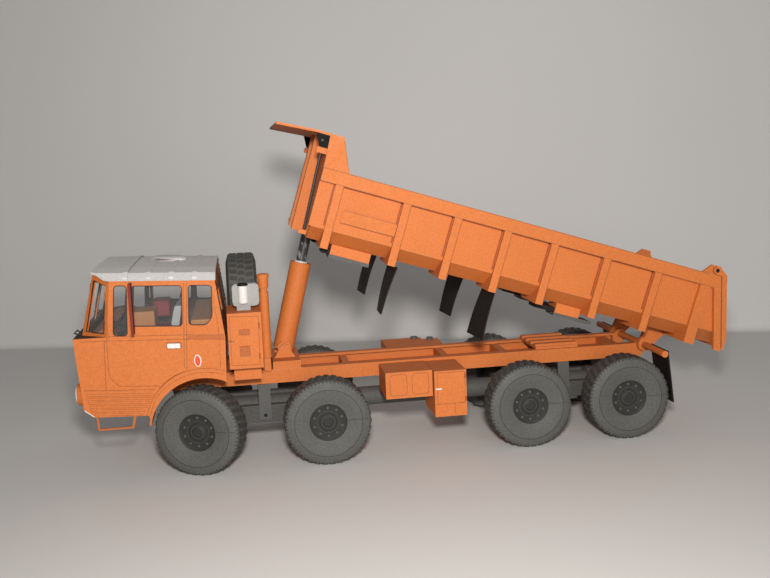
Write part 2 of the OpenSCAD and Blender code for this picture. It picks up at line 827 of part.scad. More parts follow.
module bed_side() {
    cut_tail() {
        plate_yz(-bed_l, tail_foot + 5)
            polygon([
                [panel_y, fold_z], [panel_y, bed_rail_z], [panel_y - card, bed_rail_z],
                [panel_y - card, fold_z + card * tan(45 - fold_angle / 2)],
            ]);
        block([-bed_l, bed_y - 3, bed_rail_z], [tail_foot, bed_y, rail_top]);
        for (x = ribs_at) rib(-x, rib_w);
        rib(-last_rib_at, rib_w + 1.4);
        block([-154.7, panel_y, 19.2], [-131.3, panel_y + 1, 24.6]);
    }
    // Corner post along the slanted end
    intersection() {
        plate_xz(panel_y, bed_y)
            polygon([
                [tail_at(rib_bottom) - rib_w, rib_bottom], [tail_at(rib_bottom), rib_bottom],
                [tail_at(bed_rail_z), bed_rail_z], [tail_at(bed_rail_z) - rib_w, bed_rail_z],
            ]);
        block([-bed_l, panel_y, rib_bottom], [tail_foot + 5, bed_y, bed_rail_z]);
    }
    plate_xz(bed_y - card, bed_y)
        polygon([[-bed_l - 0.7, guard_z], [-bed_l + 5.3, guard_z], [-bed_l + 10.6, rail_top], [-bed_l, rail_top]]);
    // Ear that carries the tail gate
    difference() {
        plate_xz(bed_y - 3, bed_y - 1.6)
            polygon([[6.6, rail_top], [10.2, 43.6], [14.6, 43.6], [16, rail_top]]);
        translate([gate_pin[0], 0, gate_pin[1]]) rod_y(gate_pin_r + running_fit, bed_y - 3 - over, bed_y);
    }
}

gate_pin = [12.4, 41.6];
gate_pin_r = 0.7;

module bed_side_left() { color(orange) bed_place() mirror([0, 1, 0]) bed_side(); }

module bed_side_right() { color(orange) bed_place() bed_side(); }

module bed_front_wall() {
    inner = bed_y - 3 - 0.02;
    lift = 0.05;
    color(orange) bed_place() {
        difference() {
            plate_yz(-bed_l, -bed_l + card)
                polygon([
                    [-inner, canopy_z], [-inner, fold_z + 1], [-floor_y + 0.4, floor_z + card + lift],
                    [floor_y - 0.4, floor_z + card + lift], [inner, fold_z + 1], [inner, canopy_z],
                ]);
            block([-bed_l - over, -well_y, floor_z], [-bed_l + over + card, well_y, canopy_z + over]);
        }
        both_sides() {
            block([-bed_l - 4.6, well_y + card, floor_z + 1], [-bed_l, well_y + 5, canopy_z]);
            plate_xz(well_y, well_y + card)
                polygon([
                    [-bed_l - 4.6, floor_z + card + lift], [-well_l, floor_z + card + lift],
                    [-well_l, well_bend_z], [-well_top_l, canopy_z], [-bed_l - 4.6, canopy_z],
                ]);
        }
        // The pocket's inner wall, leaning forward above the rails
        plate_xz(-well_y, well_y)
            polygon([
                [-well_l - card, floor_z + card + lift], [-well_l, floor_z + card + lift],
                [-well_l, well_bend_z], [-well_top_l, canopy_z],
                [-well_top_l - card, canopy_z], [-well_l - card, well_bend_z],
            ]);
    }
}

module bed_canopy() {
    bend = bed_l + 6.6;
    color(orange) bed_place()
        plate_xz(-bed_y, bed_y)
            polygon([
                [-canopy_l, canopy_z - canopy_drop], [-bend, canopy_z], [-bed_l + 5.3, canopy_z],
                [-bed_l + 5.3, canopy_z + 0.9], [-bend, canopy_z + 0.9], [-canopy_l, canopy_z + 0.9 - canopy_drop],
            ]);
}

module canopy_gussets() {
    color(black) bed_place() both_sides()
        plate_xz(bed_y - 1.8, bed_y - 1.02)
            polygon([[-bed_l - 6.4, canopy_z], [-bed_l - 0.02, canopy_z], [-bed_l - 0.02, 47.2], [-bed_l - 3.8, 47.2]]);
}

module bed_mudguards() {
    color(orange) bed_place() both_sides()
        for (span = [[-154.6, -137.4], [-51.6, -40.2]])
            block([span[0], 20, 4.2], [span[1], 30, floor_z]);
}

module bed_mudflaps() {
    color(black) bed_place() both_sides()
        for (x = [-127.4, -83.5]) block([x - 0.25, 23.5, -13.6], [x + 0.25, 37.5, rib_bottom]);
}

module sheet_cord_rods() {
    color("#3a3a3a") bed_place() both_sides() {
        translate([-bed_l - 2.6, 36, 11.6]) cylinder(r = 0.5, h = 34);
        for (z = [11, 44.6]) block([-bed_l - 3.5, 35.2, z], [-bed_l, 36.8, z + 2.4]);
    }
}

module tailgate() {
    gate_top = rail_top - 1;
    color(orange) bed_place() {
        difference() {
            union() {
                plate_xz(-bed_y + 0.02, bed_y - 0.02)
                    polygon([
                        [tail_at(rib_bottom + 1) + gate_clear, rib_bottom + 1],
                        [tail_at(rib_bottom + 1) + gate_clear + 1, rib_bottom + 1],
                        gate_corner, [tail_at(gate_top) + gate_t + gate_clear, gate_top],
                        [tail_at(gate_top) + gate_clear, gate_top],
                    ]);
                both_sides() plate_xz(bed_y - 1.3, bed_y - 0.02)
                    polygon([
                        [tail_at(gate_top - 3) + gate_clear, gate_top - 3], [tail_at(gate_top) + gate_clear, gate_top + 1.2],
                        [12.2, rail_top + 0.4], [10.8, 40.9], [10.8, 42.3], [11.6, 43.2], [13.2, 43.4], [17.6, 40.4],
                        [tail_at(gate_top - 3) + gate_t + gate_clear, gate_top - 3],
                    ]);
            }
        }
        both_sides() translate([gate_pin[0], 0, gate_pin[1]]) rod_y(gate_pin_r, bed_y - 3, bed_y - 1.2);
    }
}

// ---------------------------------------------------------------- hoist

// Where the hoist's eye stands with the bed tipped as here, from the front axle
eye_x = hinge_x - eye_l * cos(bed_tilt) + eye_h * sin(bed_tilt);
eye_z = hinge_z + eye_l * sin(bed_tilt) + eye_h * cos(bed_tilt);
hoist_l = norm([eye_x - hoist_x, eye_z - hoist_z]);
hoist_lean = atan2(eye_x - hoist_x, eye_z - hoist_z);
lowered_l = norm([hinge_x - eye_l - hoist_x, hinge_z + eye_h - hoist_z]);
stage_out = (hoist_l - lowered_l) / 3;
stage_end = lowered_l - 1.8;

module hoist_place() { truck() translate([hoist_x, 0, hoist_z]) rotate([0, hoist_lean, 0]) children(); }

module hoist_barrel() {
    color(orange) hoist_place() difference() {
        union() {
            translate([0, 0, -1]) cylinder(r = barrel_r, h = barrel_l + 1, $fn = 64);
            rod_y(3, -ear_half + gap, ear_half - gap);
            rod_y(1, -ear_half - ear_t - 0.3, ear_half + ear_t + 0.3);
        }
        translate([0, 0, 1.6]) cylinder(r = stage_r + running_fit, h = barrel_l);
    }
}

module hoist_gland() {
    color("#c8c8c8") hoist_place() translate([0, 0, barrel_l]) difference() {
        cylinder(r = 3, h = 0.7);
        translate([0, 0, -over]) cylinder(r = stage_r + running_fit, h = 3);
    }
}

// Stage n slides in the one before it
module stage(n) {
    r = stage_r - (n - 1) * (stage_wall + running_fit);
    foot = 1.6 + n * 0.3;
    translate([0, 0, n * stage_out]) difference() {
        union() {
            translate([0, 0, foot]) cylinder(r = r, h = stage_end + (n - 3) * 0.3 - foot);
            if (n == 3) translate([0, 0, lowered_l]) {
                rod_y(1.5, -1.4, 1.4);
                translate([0, 0, -2.2]) cylinder(r = r, h = 1.4);
            }
        }
        if (n < 3) translate([0, 0, foot - over])
            cylinder(r = r - stage_wall, h = stage_end + 2 * over);
        else translate([0, 0, lowered_l]) rod_y(0.9, -3, 3);
    }
}

module hoist_stage_1() { color("#4a4b4c") hoist_place() stage(1); }

module hoist_stage_2() { color("#4a4b4c") hoist_place() stage(2); }

module hoist_stage_3() { color("#4a4b4c") hoist_place() stage(3); }

// ---------------------------------------------------------------- nodes

chassis_frame();
bed_rest_pad();
backbone_tube();
axle_tubes();
leaf_springs();
spring_hangers();
hinge_tube();
rear_mudflaps();
tool_box();
battery_box();
fuel_tank();
tank_caps();
hoist_base();
equipment_box();
intake_stack();
spare_carrier();
spare_tyre();
filter_case();
cab_front();
cab_side(-1);  // cab_side_left
cab_side(1);  // cab_side_right
windscreen_frame();
cab_rear_wall();
cab_roof();
cab_floor();
cab_glass();
dashboard();
steering_wheel();
cab_seats();
headlights();
mirrors();
cab_steps();
nose_handles();
knuckle(-1);  // knuckle_left
knuckle(1);  // knuckle_right
steered_wheel(-1);  // wheel_1_left
steered_wheel(1);  // wheel_1_right
fixed_wheel(axle_2_x, -1);  // wheel_2_left
fixed_wheel(axle_2_x, 1);  // wheel_2_right
fixed_wheel(axle_3_x, -1);  // wheel_3_left
fixed_wheel(axle_3_x, 1);  // wheel_3_right
fixed_wheel(axle_4_x, -1);  // wheel_4_left
fixed_wheel(axle_4_x, 1);  // wheel_4_right
bed_floor();
bed_side_left();
bed_side_right();
bed_front_wall();
bed_canopy();
canopy_gussets();
bed_mudguards();
bed_mudflaps();
sheet_cord_rods();
tailgate();
hoist_barrel();
hoist_gland();
hoist_stage_1();
hoist_stage_2();
hoist_stage_3();
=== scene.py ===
"""A card model of an eight-wheel dump truck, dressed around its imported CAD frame.

Lengths below are millimetres from the front axle, X towards the tail, -Y the driver's side.
Bed lengths (u, w) run forward and up from the tipping hinge.
"""

import json
import math

import bmesh
import bpy
from mathutils import Matrix, Vector


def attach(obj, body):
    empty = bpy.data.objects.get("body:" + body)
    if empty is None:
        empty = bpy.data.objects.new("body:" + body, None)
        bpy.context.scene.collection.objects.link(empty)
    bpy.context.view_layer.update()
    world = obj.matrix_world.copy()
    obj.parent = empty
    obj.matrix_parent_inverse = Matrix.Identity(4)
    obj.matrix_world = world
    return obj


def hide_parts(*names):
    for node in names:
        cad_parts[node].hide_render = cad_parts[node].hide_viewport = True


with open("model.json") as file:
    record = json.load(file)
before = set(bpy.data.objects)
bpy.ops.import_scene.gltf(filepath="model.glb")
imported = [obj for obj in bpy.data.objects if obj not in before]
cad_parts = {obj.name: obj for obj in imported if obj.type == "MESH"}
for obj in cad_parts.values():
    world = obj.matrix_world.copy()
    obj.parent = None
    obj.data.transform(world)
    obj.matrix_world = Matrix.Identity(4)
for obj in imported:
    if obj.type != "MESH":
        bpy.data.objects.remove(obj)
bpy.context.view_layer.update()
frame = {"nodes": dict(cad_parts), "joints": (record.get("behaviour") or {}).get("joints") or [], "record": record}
joints = {j["name"]: j for j in frame["joints"]}
AXLE_X = joints["steer_left"]["pos_m"][0] * 1000
MM = 0.001
SIDES = (("left", -1), ("right", 1))
HINGE = (201.9, 37.4)           # the bed's tipping hinge
TILT = math.radians(17.7)       # the bed's angle at rest


def at(x, y, z):
    """Row-frame metres of a point given in millimetres from the front axle."""
    return Vector(((x + AXLE_X) * MM, y * MM, z * MM))


def bed(u, y, w):
    """The same of a point given in the bed's own lengths."""
    c, s = math.cos(TILT), math.sin(TILT)
    return at(HINGE[0] - u * c + w * s, y, HINGE[1] + u * s + w * c)


# ---------------------------------------------------------------- materials


class Nodes:
    """A material's node tree, with short calls for the few nodes it needs."""

    def __init__(self, name):
        self.mat = bpy.data.materials.new(name)
        self.mat.use_nodes = True
        self.tree = self.mat.node_tree
        self.shader = self.tree.nodes["Principled BSDF"]
        self.coord = self.tree.nodes.new("ShaderNodeTexCoord").outputs["Object"]

    def new(self, kind, **values):
        node = self.tree.nodes.new(kind)
        for key, value in values.items():
            setattr(node, key, value)
        return node

    def link(self, a, b):
        self.tree.links.new(a, b)

    def noise(self, scale, detail=3.0, stretch=None):
        node = self.new("ShaderNodeTexNoise")
        node.inputs["Scale"].default_value = scale
        node.inputs["Detail"].default_value = detail
        source = self.coord
        if stretch:
            mapping = self.new("ShaderNodeMapping")
            mapping.inputs["Scale"].default_value = stretch
            self.link(source, mapping.inputs["Vector"])
            source = mapping.outputs["Vector"]
        self.link(source, node.inputs["Vector"])
        return node.outputs["Fac"]

    def ramp(self, fac, stops):
        node = self.new("ShaderNodeValToRGB")
        ramp = node.color_ramp
        while len(ramp.elements) < len(stops):
            ramp.elements.new(0.5)
        for element, (place, colour) in zip(ramp.elements, stops):
            element.position = place
            element.color = (*colour, 1)
        self.link(fac, node.inputs["Fac"])
        return node.outputs["Color"]

    def mix(self, a, b, fac, blend="MIX"):
        node = self.new("ShaderNodeMix", data_type="RGBA", blend_type=blend)
        for socket, value in ((node.inputs[6], a), (node.inputs[7], b), (node.inputs[0], fac)):
            if hasattr(value, "links"):
                self.link(value, socket)
            elif isinstance(value, tuple):
                socket.default_value = (*value, 1)
            else:
                socket.default_value = value
        return node.outputs[2]

    def bump(self, height, strength, distance):
        node = self.new("ShaderNodeBump")
        node.inputs["Strength"].default_value = strength
        node.inputs["Distance"].default_value = distance
        self.link(height, node.inputs["Height"])
        self.link(node.outputs["Normal"], self.shader.inputs["Normal"])


def shade(colour, k):
    return tuple(min(1, c * k) for c in colour)


def card(name, colour, rough=0.62, grain=0.1, edge=None, specular=0.3):
    """Printed card: fine mottling of the print, slow fading, paper fibres, and paler cut edges."""
    n = Nodes(name)
    fine = n.noise(1300, 2)
    print_ = n.ramp(fine, [(0.3, shade(colour, 1 - grain)), (0.7, shade(colour, 1 + grain))])
    slow = n.ramp(n.noise(28, 3), [(0.3, (0.93, 0.93, 0.93)), (0.7, (1.0, 1.0, 1.0))])
    base = n.mix(print_, slow, 1.0, "MULTIPLY")
    if edge:
        bevel = n.new("ShaderNodeBevel", samples=3)
        bevel.inputs["Radius"].default_value = 0.00022
        geometry = n.new("ShaderNodeNewGeometry")
        dot = n.new("ShaderNodeVectorMath", operation="DOT_PRODUCT")
        n.link(bevel.outputs["Normal"], dot.inputs[0])
        n.link(geometry.outputs["Normal"], dot.inputs[1])
        worn = n.ramp(dot.outputs["Value"], [(0.80, (0.55, 0.55, 0.55)), (0.97, (0, 0, 0))])
        base = n.mix(base, edge, worn)
    n.link(base, n.shader.inputs["Base Color"])
    rough_map = n.ramp(n.noise(160, 2), [(0.3, (rough - 0.06,) * 3), (0.7, (rough + 0.06,) * 3)])
    n.link(rough_map, n.shader.inputs["Roughness"])
    n.shader.inputs["Specular IOR Level"].default_value = specular
    n.bump(n.noise(2400, 4, (1, 1, 0.35)), 0.25, 0.00006)
    return n.mat


def scuffed(name, colour, pale):
    """Dark tube with pale rubbed streaks round it."""
    n = Nodes(name)
    streaks = n.ramp(n.noise(700, 4, (1, 1, 0.4)), [(0.56, (0, 0, 0)), (0.66, (0.8, 0.8, 0.8))])
    n.link(n.mix(n.ramp(n.noise(90, 2), [(0.3, colour), (0.7, shade(colour, 1.6))]), pale, streaks),
           n.shader.inputs["Base Color"])
    n.link(n.ramp(n.noise(300, 2), [(0.3, (0.28,) * 3), (0.7, (0.45,) * 3)]), n.shader.inputs["Roughness"])
    n.bump(n.noise(900, 3), 0.2, 0.00005)
    return n.mat


ORANGE = (0.60, 0.166, 0.037)
MATERIALS = {
    "orange_card": card("orange_card", ORANGE, edge=(0.70, 0.38, 0.20)),
    "white_card": card("white_card", (0.74, 0.72, 0.71), grain=0.04),
    "gusset_black": card("gusset_black", (0.006, 0.006, 0.007), grain=0.2, edge=(0.03, 0.03, 0.03),
                         specular=0.1),
    "engine_cover": card("engine_cover", (0.40, 0.165, 0.05)),
    "grey_card": card("grey_card", (0.095, 0.094, 0.090), grain=0.12, edge=(0.19, 0.19, 0.185)),
    "tyre_card": card("tyre_card", (0.055, 0.054, 0.051), grain=0.14),
    "black_card": card("black_card", (0.018, 0.0145, 0.0135), grain=0.2, edge=(0.055, 0.05, 0.047),
                       specular=0.12),
    "pale_card": card("pale_card", (0.34, 0.34, 0.335), grain=0.06),
    "brown_card": card("brown_card", (0.30, 0.10, 0.035)),
    "red_card": card("red_card", (0.22, 0.012, 0.022)),
    "silver_card": card("silver_card", (0.62, 0.62, 0.60), rough=0.35, specular=0.6),
    "dark_red_card": card("dark_red_card", (0.19, 0.02, 0.012)),
    "orange_wire": card("orange_wire", shade(ORANGE, 0.8), rough=0.45),
    "black_wire": card("black_wire", (0.03, 0.025, 0.022), rough=0.4),
    "dark_rod": scuffed("dark_rod", (0.030, 0.030, 0.032), (0.34, 0.34, 0.34)),
    "tread_dark": card("tread_dark", (0.035, 0.034, 0.032), grain=0.25),
    "sidewall": card("sidewall", (0.094, 0.094, 0.087), grain=0.16),
    "sidewall_deep": card("sidewall_deep", (0.060, 0.059, 0.055), grain=0.16),
    "hub_grey": card("hub_grey", (0.027, 0.026, 0.024), grain=0.2),
    "hub_mark": card("hub_mark", (0.10, 0.096, 0.088)),
    "print_line": card("print_line", (0.33, 0.10, 0.03), grain=0.2),
    "print_black": card("print_black", (0.05, 0.03, 0.025), grain=0.2),
    "orange_deep": card("orange_deep", (0.33, 0.074, 0.016)),
    "orange_shade": card("orange_shade", (0.48, 0.125, 0.027)),
    "paper_white": card("paper_white", (0.72, 0.70, 0.68), grain=0.04),
    "reflector_red": card("reflector_red", (0.70, 0.075, 0.03), rough=0.4),
}


def glass():
    """Clear film, a little hazy in patches."""
    n = Nodes("clear_film")
    haze = n.ramp(n.noise(60, 2), [(0.3, (0.90, 0.93, 0.93)), (0.7, (0.97, 0.98, 0.98))])
    n.link(haze, n.shader.inputs["Base Color"])
    n.shader.inputs["Roughness"].default_value = 0.06
    n.shader.inputs["Alpha"].default_value = 0.03
    return n.mat


MATERIALS["clear_film"] = glass()


def lined(name, outside, inside, centre):
    """Card that is darker on the faces turned to the cab's middle."""
    n = Nodes(name)
    geometry = n.new("ShaderNodeNewGeometry")
    way = n.new("ShaderNodeVectorMath", operation="SUBTRACT")
    way.inputs[0].default_value = centre
    n.link(geometry.outputs["Position"], way.inputs[1])
    dot = n.new("ShaderNodeVectorMath", operation="DOT_PRODUCT")
    n.link(way.outputs["Vector"], dot.inputs[0])
    n.link(geometry.outputs["Normal"], dot.inputs[1])
    inner = n.ramp(dot.outputs["Value"], [(0.0, (0, 0, 0)), (0.0005, (1, 1, 1))])
    fine = n.noise(1300, 2)
    outer_print = n.ramp(fine, [(0.3, shade(outside, 0.9)), (0.7, shade(outside, 1.1))])
    inner_dark_tone = n.ramp(fine, [(0.3, shade(inside, 0.8)), (0.7, shade(inside, 1.2))])
    slow = n.ramp(n.noise(28, 3), [(0.3, (0.93, 0.93, 0.93)), (0.7, (1.0, 1.0, 1.0))])
    both = n.mix(outer_print, inner_dark_tone, inner)
    n.link(n.mix(both, slow, 1.0, "MULTIPLY"), n.shader.inputs["Base Color"])
    n.link(n.ramp(n.noise(160, 2), [(0.3, (0.56,) * 3), (0.7, (0.68,) * 3)]), n.shader.inputs["Roughness"])
    n.shader.inputs["Specular IOR Level"].default_value = 0.3
    n.bump(n.noise(2400, 4, (1, 1, 0.35)), 0.25, 0.00006)
    return n.mat


CAB_MIDDLE = at(-18, 0, 66)
MATERIALS["cab_card"] = lined("cab_card", ORANGE, (0.060, 0.026, 0.018), CAB_MIDDLE)
MATERIALS["roof_card"] = lined("roof_card", (0.74, 0.72, 0.71), (0.16, 0.13, 0.12), CAB_MIDDLE)


def dress(obj, *names):
    obj.data.materials.clear()
    for name in names:
        obj.data.materials.append(MATERIALS[name])


record = frame["record"]
slot_of = {s["node"]: s["material_slot"] for s in record["subparts"]}
special = dict.fromkeys(("cab_side_left", "cab_side_right", "cab_front", "windscreen_frame",
                         "cab_rear_wall", "cab_floor"), "cab_card")
special.update(cab_roof="roof_card", canopy_gussets="gusset_black")
for node, obj in frame["nodes"].items():
    dress(obj, special.get(node, slot_of[node]))
    for polygon in obj.data.polygons:
        polygon.use_smooth = False

# ---------------------------------------------------------------- building pieces


def finish_mesh(name, bm, body, materials, smooth_angle=None):
    """Turns a bmesh into a piece that rides on a CAD body."""
    bmesh.ops.recalc_face_normals(bm, faces=bm.faces)
    mesh = bpy.data.meshes.new(name)
    if smooth_angle is not None:
        for face in bm.faces:
            face.smooth = True
        for edge in bm.edges:
            if len(edge.link_faces) == 2 and edge.calc_face_angle(0) > math.radians(smooth_angle):
                edge.smooth = False
    bm.to_mesh(mesh)
    bm.free()
    obj = bpy.data.objects.new(name, mesh)
    bpy.context.scene.collection.objects.link(obj)
    dress(obj, *materials)
    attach(obj, body)
    return obj


def add_prism(bm, bottom, top):
    """A closed solid between two outlines with the same number of points."""
    a = [bm.verts.new(p) for p in bottom]
    b = [bm.verts.new(p) for p in top]
    n = len(a)
    bm.faces.new(a[::-1])
    bm.faces.new(b)
    for i in range(n):
        bm.faces.new((a[i], a[(i + 1) % n], b[(i + 1) % n], b[i]))


def add_path(bm, points, width, normal, lift=(0.0, 0.05), closed=False):
    """A thin mitred strip along points on a surface with that normal. Millimetre sizes, metre points."""
    pts = [Vector(p) for p in points]
    normal = Vector(normal).normalized()
    count = len(pts)
    left, right = [], []
    for i, p in enumerate(pts):
        before = pts[i - 1] if (closed or i > 0) else None
        after = pts[(i + 1) % count] if (closed or i < count - 1) else None
        d1 = (p - before).normalized() if before is not None else None
        d2 = (after - p).normalized() if after is not None else None
        d = ((d1 or d2) + (d2 or d1)).normalized()
        side = normal.cross(d).normalized()
        half = width * MM / 2
        if d1 is not None and d2 is not None:
            half /= max(0.4, math.sqrt(max(0.01, (1 + d1.dot(d2)) / 2)))
        left.append(p + side * half)
        right.append(p - side * half)
    low, high = normal * lift[0] * MM, normal * lift[1] * MM
    spans = range(count if closed else count - 1)
    ring = [[bm.verts.new(v) for v in (left[i] + low, right[i] + low, right[i] + high, left[i] + high)]
            for i in range(count)]
    for i in spans:
        a, b = ring[i], ring[(i + 1) % count]
        for k in range(4):
            bm.faces.new((a[k], a[(k + 1) % 4], b[(k + 1) % 4], b[k]))
    if not closed:
        bm.faces.new(ring[0][::-1])
        bm.faces.new(ring[-1])


def add_lathe(bm, profile, centre, axis, steps, closed=True):
    """Turns (radius, height, material) points about an axis through centre."""
    centre, axis = Vector(centre), Vector(axis).normalized()
    across = axis.cross(Vector((0, 0, 1)))
    if across.length < 0.1:
        across = axis.cross(Vector((1, 0, 0)))
    across.normalize()
    other = axis.cross(across)
    rings = []
    for r, h, _ in profile:
        if r < 1e-6:
            rings.append([bm.verts.new(centre + axis * h * MM)])
            continue
        rings.append([
            bm.verts.new(centre + axis * h * MM
                         + (across * math.cos(t) + other * math.sin(t)) * r * MM)
            for t in (2 * math.pi * k / steps for k in range(steps))])
    pairs = list(zip(rings, rings[1:], profile))
    if closed:
        pairs.append((rings[-1], rings[0], profile[-1]))
    for a, b, (_, _, material) in pairs:
        if len(a) == 1 and len(b) == 1:
            continue
        for k in range(steps):
            k2 = (k + 1) % steps
            corners = []
            for ring, order in ((a, (k, k2)), (b, (k2, k))):
                corners += [ring[0]] if len(ring) == 1 else [ring[order[0]], ring[order[1]]]
            bm.faces.new(corners).material_index = material


# ---------------------------------------------------------------- wheels

TYRE_R = 18.5
TREAD_HALF = 5.2    # half of the tread's width, and of the sidewalls at their widest
BULGE_HALF = 6.7
RIM_R = 8.0
BLOCKS = 34         # tread blocks in each row
HUB_FRONT = 3.9     # the hub's face, out from the wheel's middle
NUT_R = 6.15        # the ring of wheel nuts
NUTS = 10
STEER = math.radians(-19)
STEER_PIVOT_Y = 28
STEER_OFFSET = 4.8
AXLES = ((1, 0.0), (2, 51.6), (3, 140.3), (4, 185.6))
TRACK_HALF = 32.8


def add_wheel(name, centre, axis, body, node):
    """One card tyre and its hub. axis points out of the truck, or out of the spare's face."""
    axis = Vector(axis).normalized()
    across = axis.cross(Vector((0, 0, 1))).normalized()
    up = axis.cross(across)

    def spot(r, angle, h):
        return centre + axis * h * MM + (across * math.cos(angle) + up * math.sin(angle)) * r * MM

    bm = bmesh.new()
    groove = TYRE_R - 0.35
    profile = [
        (RIM_R, TREAD_HALF, 1), (RIM_R + 1.1, TREAD_HALF + 0.35, 1), (TYRE_R * 0.62, TREAD_HALF + 0.95, 0),
        (TYRE_R * 0.77, BULGE_HALF, 0), (TYRE_R * 0.79, BULGE_HALF, 0), (TYRE_R * 0.93, TREAD_HALF + 0.75, 0),
        (groove - 0.1, TREAD_HALF + 0.25, 2), (groove, TREAD_HALF - 0.1, 2),
    ]
    mirrored = [(r, -h, m) for (r, h, _), (_, _, m) in zip(profile[::-1], profile[-2::-1] + profile[:1])]
    add_lathe(bm, profile + mirrored, centre, axis, 96)
    tyre = finish_mesh(f"tyre_{name}", bm, body, ("sidewall", "sidewall_deep", "tread_dark"), 24)
    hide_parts(node)

    # Tread blocks in three rows, the outer ones over the shoulders
    bm = bmesh.new()
    step = 2 * math.pi / BLOCKS
    for k in range(BLOCKS):
        for side in (-1, 1):
            a = (k + (0.5 if side > 0 else 0)) * step
            outline = [(0.36, 0.00), (0.98, 0.10), (0.98, 0.62), (0.36, 0.52)]
            inner, outer = [], []
            for share, turn in outline:
                h = side * TREAD_HALF * share
                inner.append(spot(groove - 0.1, a + turn * step, h))
                outer.append(spot(TYRE_R, a + turn * step, h))
            add_prism(bm, inner, outer)
        a = (k + 0.2) * step
        outline = [(-0.27, 0.0), (0.0, 0.22), (0.27, 0.0), (0.27, 0.5), (0.0, 0.72), (-0.27, 0.5)]
        add_prism(bm, [spot(groove - 0.1, a + t * step, TREAD_HALF * s) for s, t in outline],
                  [spot(TYRE_R, a + t * step, TREAD_HALF * s) for s, t in outline])
    finish_mesh(f"tread_{name}", bm, body, ("tyre_card",))

    # Shoulder notches and the seams of the card rings
    bm = bmesh.new()
    notches = BLOCKS * 2
    for k in range(notches):
        a = 2 * math.pi * k / notches
        for side in (-1, 1):
            low = (TYRE_R * 0.945, side * (TREAD_HALF + 0.68))
            high = (groove - 0.12, side * (TREAD_HALF + 0.28))
            add_path(bm, [spot(low[0], a, low[1]), spot(high[0], a, high[1])], 0.55,
                     axis * side + (across * math.cos(a) + up * math.sin(a)) * 0.25, (-0.05, 0.05))
    finish_mesh(f"notches_{name}", bm, body, ("tread_dark",))

    bm = bmesh.new()
    for side in (-1, 1):
        for r, h, w in ((TYRE_R * 0.78, BULGE_HALF, 0.22), (TYRE_R * 0.66, TREAD_HALF + 1.04, 0.12)):
            add_path(bm, [spot(r, 2 * math.pi * k / 72, side * h) for k in range(72)], w, axis * side,
                     (-0.05, 0.03), closed=True)
        seam = [(RIM_R + 0.2, TREAD_HALF + 0.1), (RIM_R + 1.1, TREAD_HALF + 0.37),
                (TYRE_R * 0.62, TREAD_HALF + 0.97), (TYRE_R * 0.78, BULGE_HALF + 0.02),
                (TYRE_R * 0.93, TREAD_HALF + 0.77)]
        a = math.radians(183)
        add_path(bm, [spot(r, a, side * h) for r, h in seam], 0.16, axis * side, (-0.05, 0.03))
    finish_mesh(f"sidewall_lines_{name}", bm, body, ("hub_grey",))

    # Hub: dished disc with a ring of wheel nuts and a stepped cap
    bm = bmesh.new()
    front = HUB_FRONT
    # The black ring round the hub's rim is painted shade of the gap between hub and tyre
    add_lathe(bm, [
        (0, front + 0.55, 0), (1.9, front + 0.55, 0), (2.2, front + 0.4, 0), (2.5, front + 0.25, 0),
        (3.4, front + 0.25, 0), (3.7, front, 0), (RIM_R - 0.8, front - 0.1, 1),
        (RIM_R - 0.35, front + 0.05, 1), (RIM_R + 0.03, front + 0.2, 1),
        (RIM_R + 0.03, -TREAD_HALF, 0), (RIM_R - 1, -TREAD_HALF, 0),
        (RIM_R - 1, 0.9, 0), (3.2, 0.9, 0), (3.2, -2.0, 0), (0, -2.0, 0),
    ], centre, axis, 64, closed=False)
    finish_mesh(f"hub_{name}", bm, body, ("hub_grey", "gusset_black"), 24)
    bm = bmesh.new()
    for k in range(NUTS):
        a = 2 * math.pi * (k + 0.5) / NUTS
        add_lathe(bm, [(0, 0.45, 0), (0.2, 0.45, 0), (0.26, 0.28, 0), (0.44, 0.28, 0), (0.6, 0.16, 0),
                       (0.62, -0.1, 0), (0, -0.1, 0)], spot(NUT_R, a, front - 0.1), axis, 6, closed=False)
    for r, w in ((2.75, 0.12), (3.5, 0.1), (4.75, 0.1)):
        h = front + (0.25 if r < 3.45 else 0.02)
        circle = [spot(r, 2 * math.pi * k / 48, h) for k in range(48)]
        add_path(bm, circle, w, axis, (-0.1, 0.04), closed=True)
    finish_mesh(f"wheel_nuts_{name}", bm, body, ("hub_mark",))


for k, x in AXLES:
    for side_name, side in SIDES:
        if k == 1:
            out = Vector((-math.sin(STEER), math.cos(STEER), 0)) * side
            centre = at(0, side * STEER_PIVOT_Y, TYRE_R) + out * STEER_OFFSET * MM
        else:
            out = Vector((0, side, 0))
            centre = at(x, side * TRACK_HALF, TYRE_R)
        add_wheel(f"{k}_{side_name}", centre, out, f"wheel_{k}_{side_name}", f"wheel_{k}_{side_name}")
add_wheel("spare", at(18.8, 7, 69.6), (-1, 0, 0), "root", "spare_tyre")

# ---------------------------------------------------------------- flat faces to draw on


def side_face(y):
    """The plane across the truck at y: takes (x, z)."""
    return (lambda p: at(p[0], y, p[1])), Vector((0, math.copysign(1, y), 0))


def bed_face(y):
    """The same in the bed's lengths: takes (u, w)."""
    return (lambda p: bed(p[0], y, p[1])), Vector((0, math.copysign(1, y), 0))


def draw(name, body, material, face, strokes, lift=(-0.04, 0.05)):
    """Printed lines on a face. A stroke is (points, width, closed)."""
    place, normal = face
    bm = bmesh.new()
    for points, width, closed in strokes:
        add_path(bm, [place(p) for p in points], width, normal, lift, closed)
    return finish_mesh(name, bm, body, (material,))


def patch(name, body, material, face, outlines, lift=(-0.05, 0.06)):
    """Printed or glued-on flat shapes."""
    place, normal = face
    low, high = (normal * k * MM for k in lift)
    bm = bmesh.new()
    for outline in outlines:
        points = [place(p) for p in outline]
        add_prism(bm, [p + low for p in points], [p + high for p in points])
    return finish_mesh(name, bm, body, (material,))


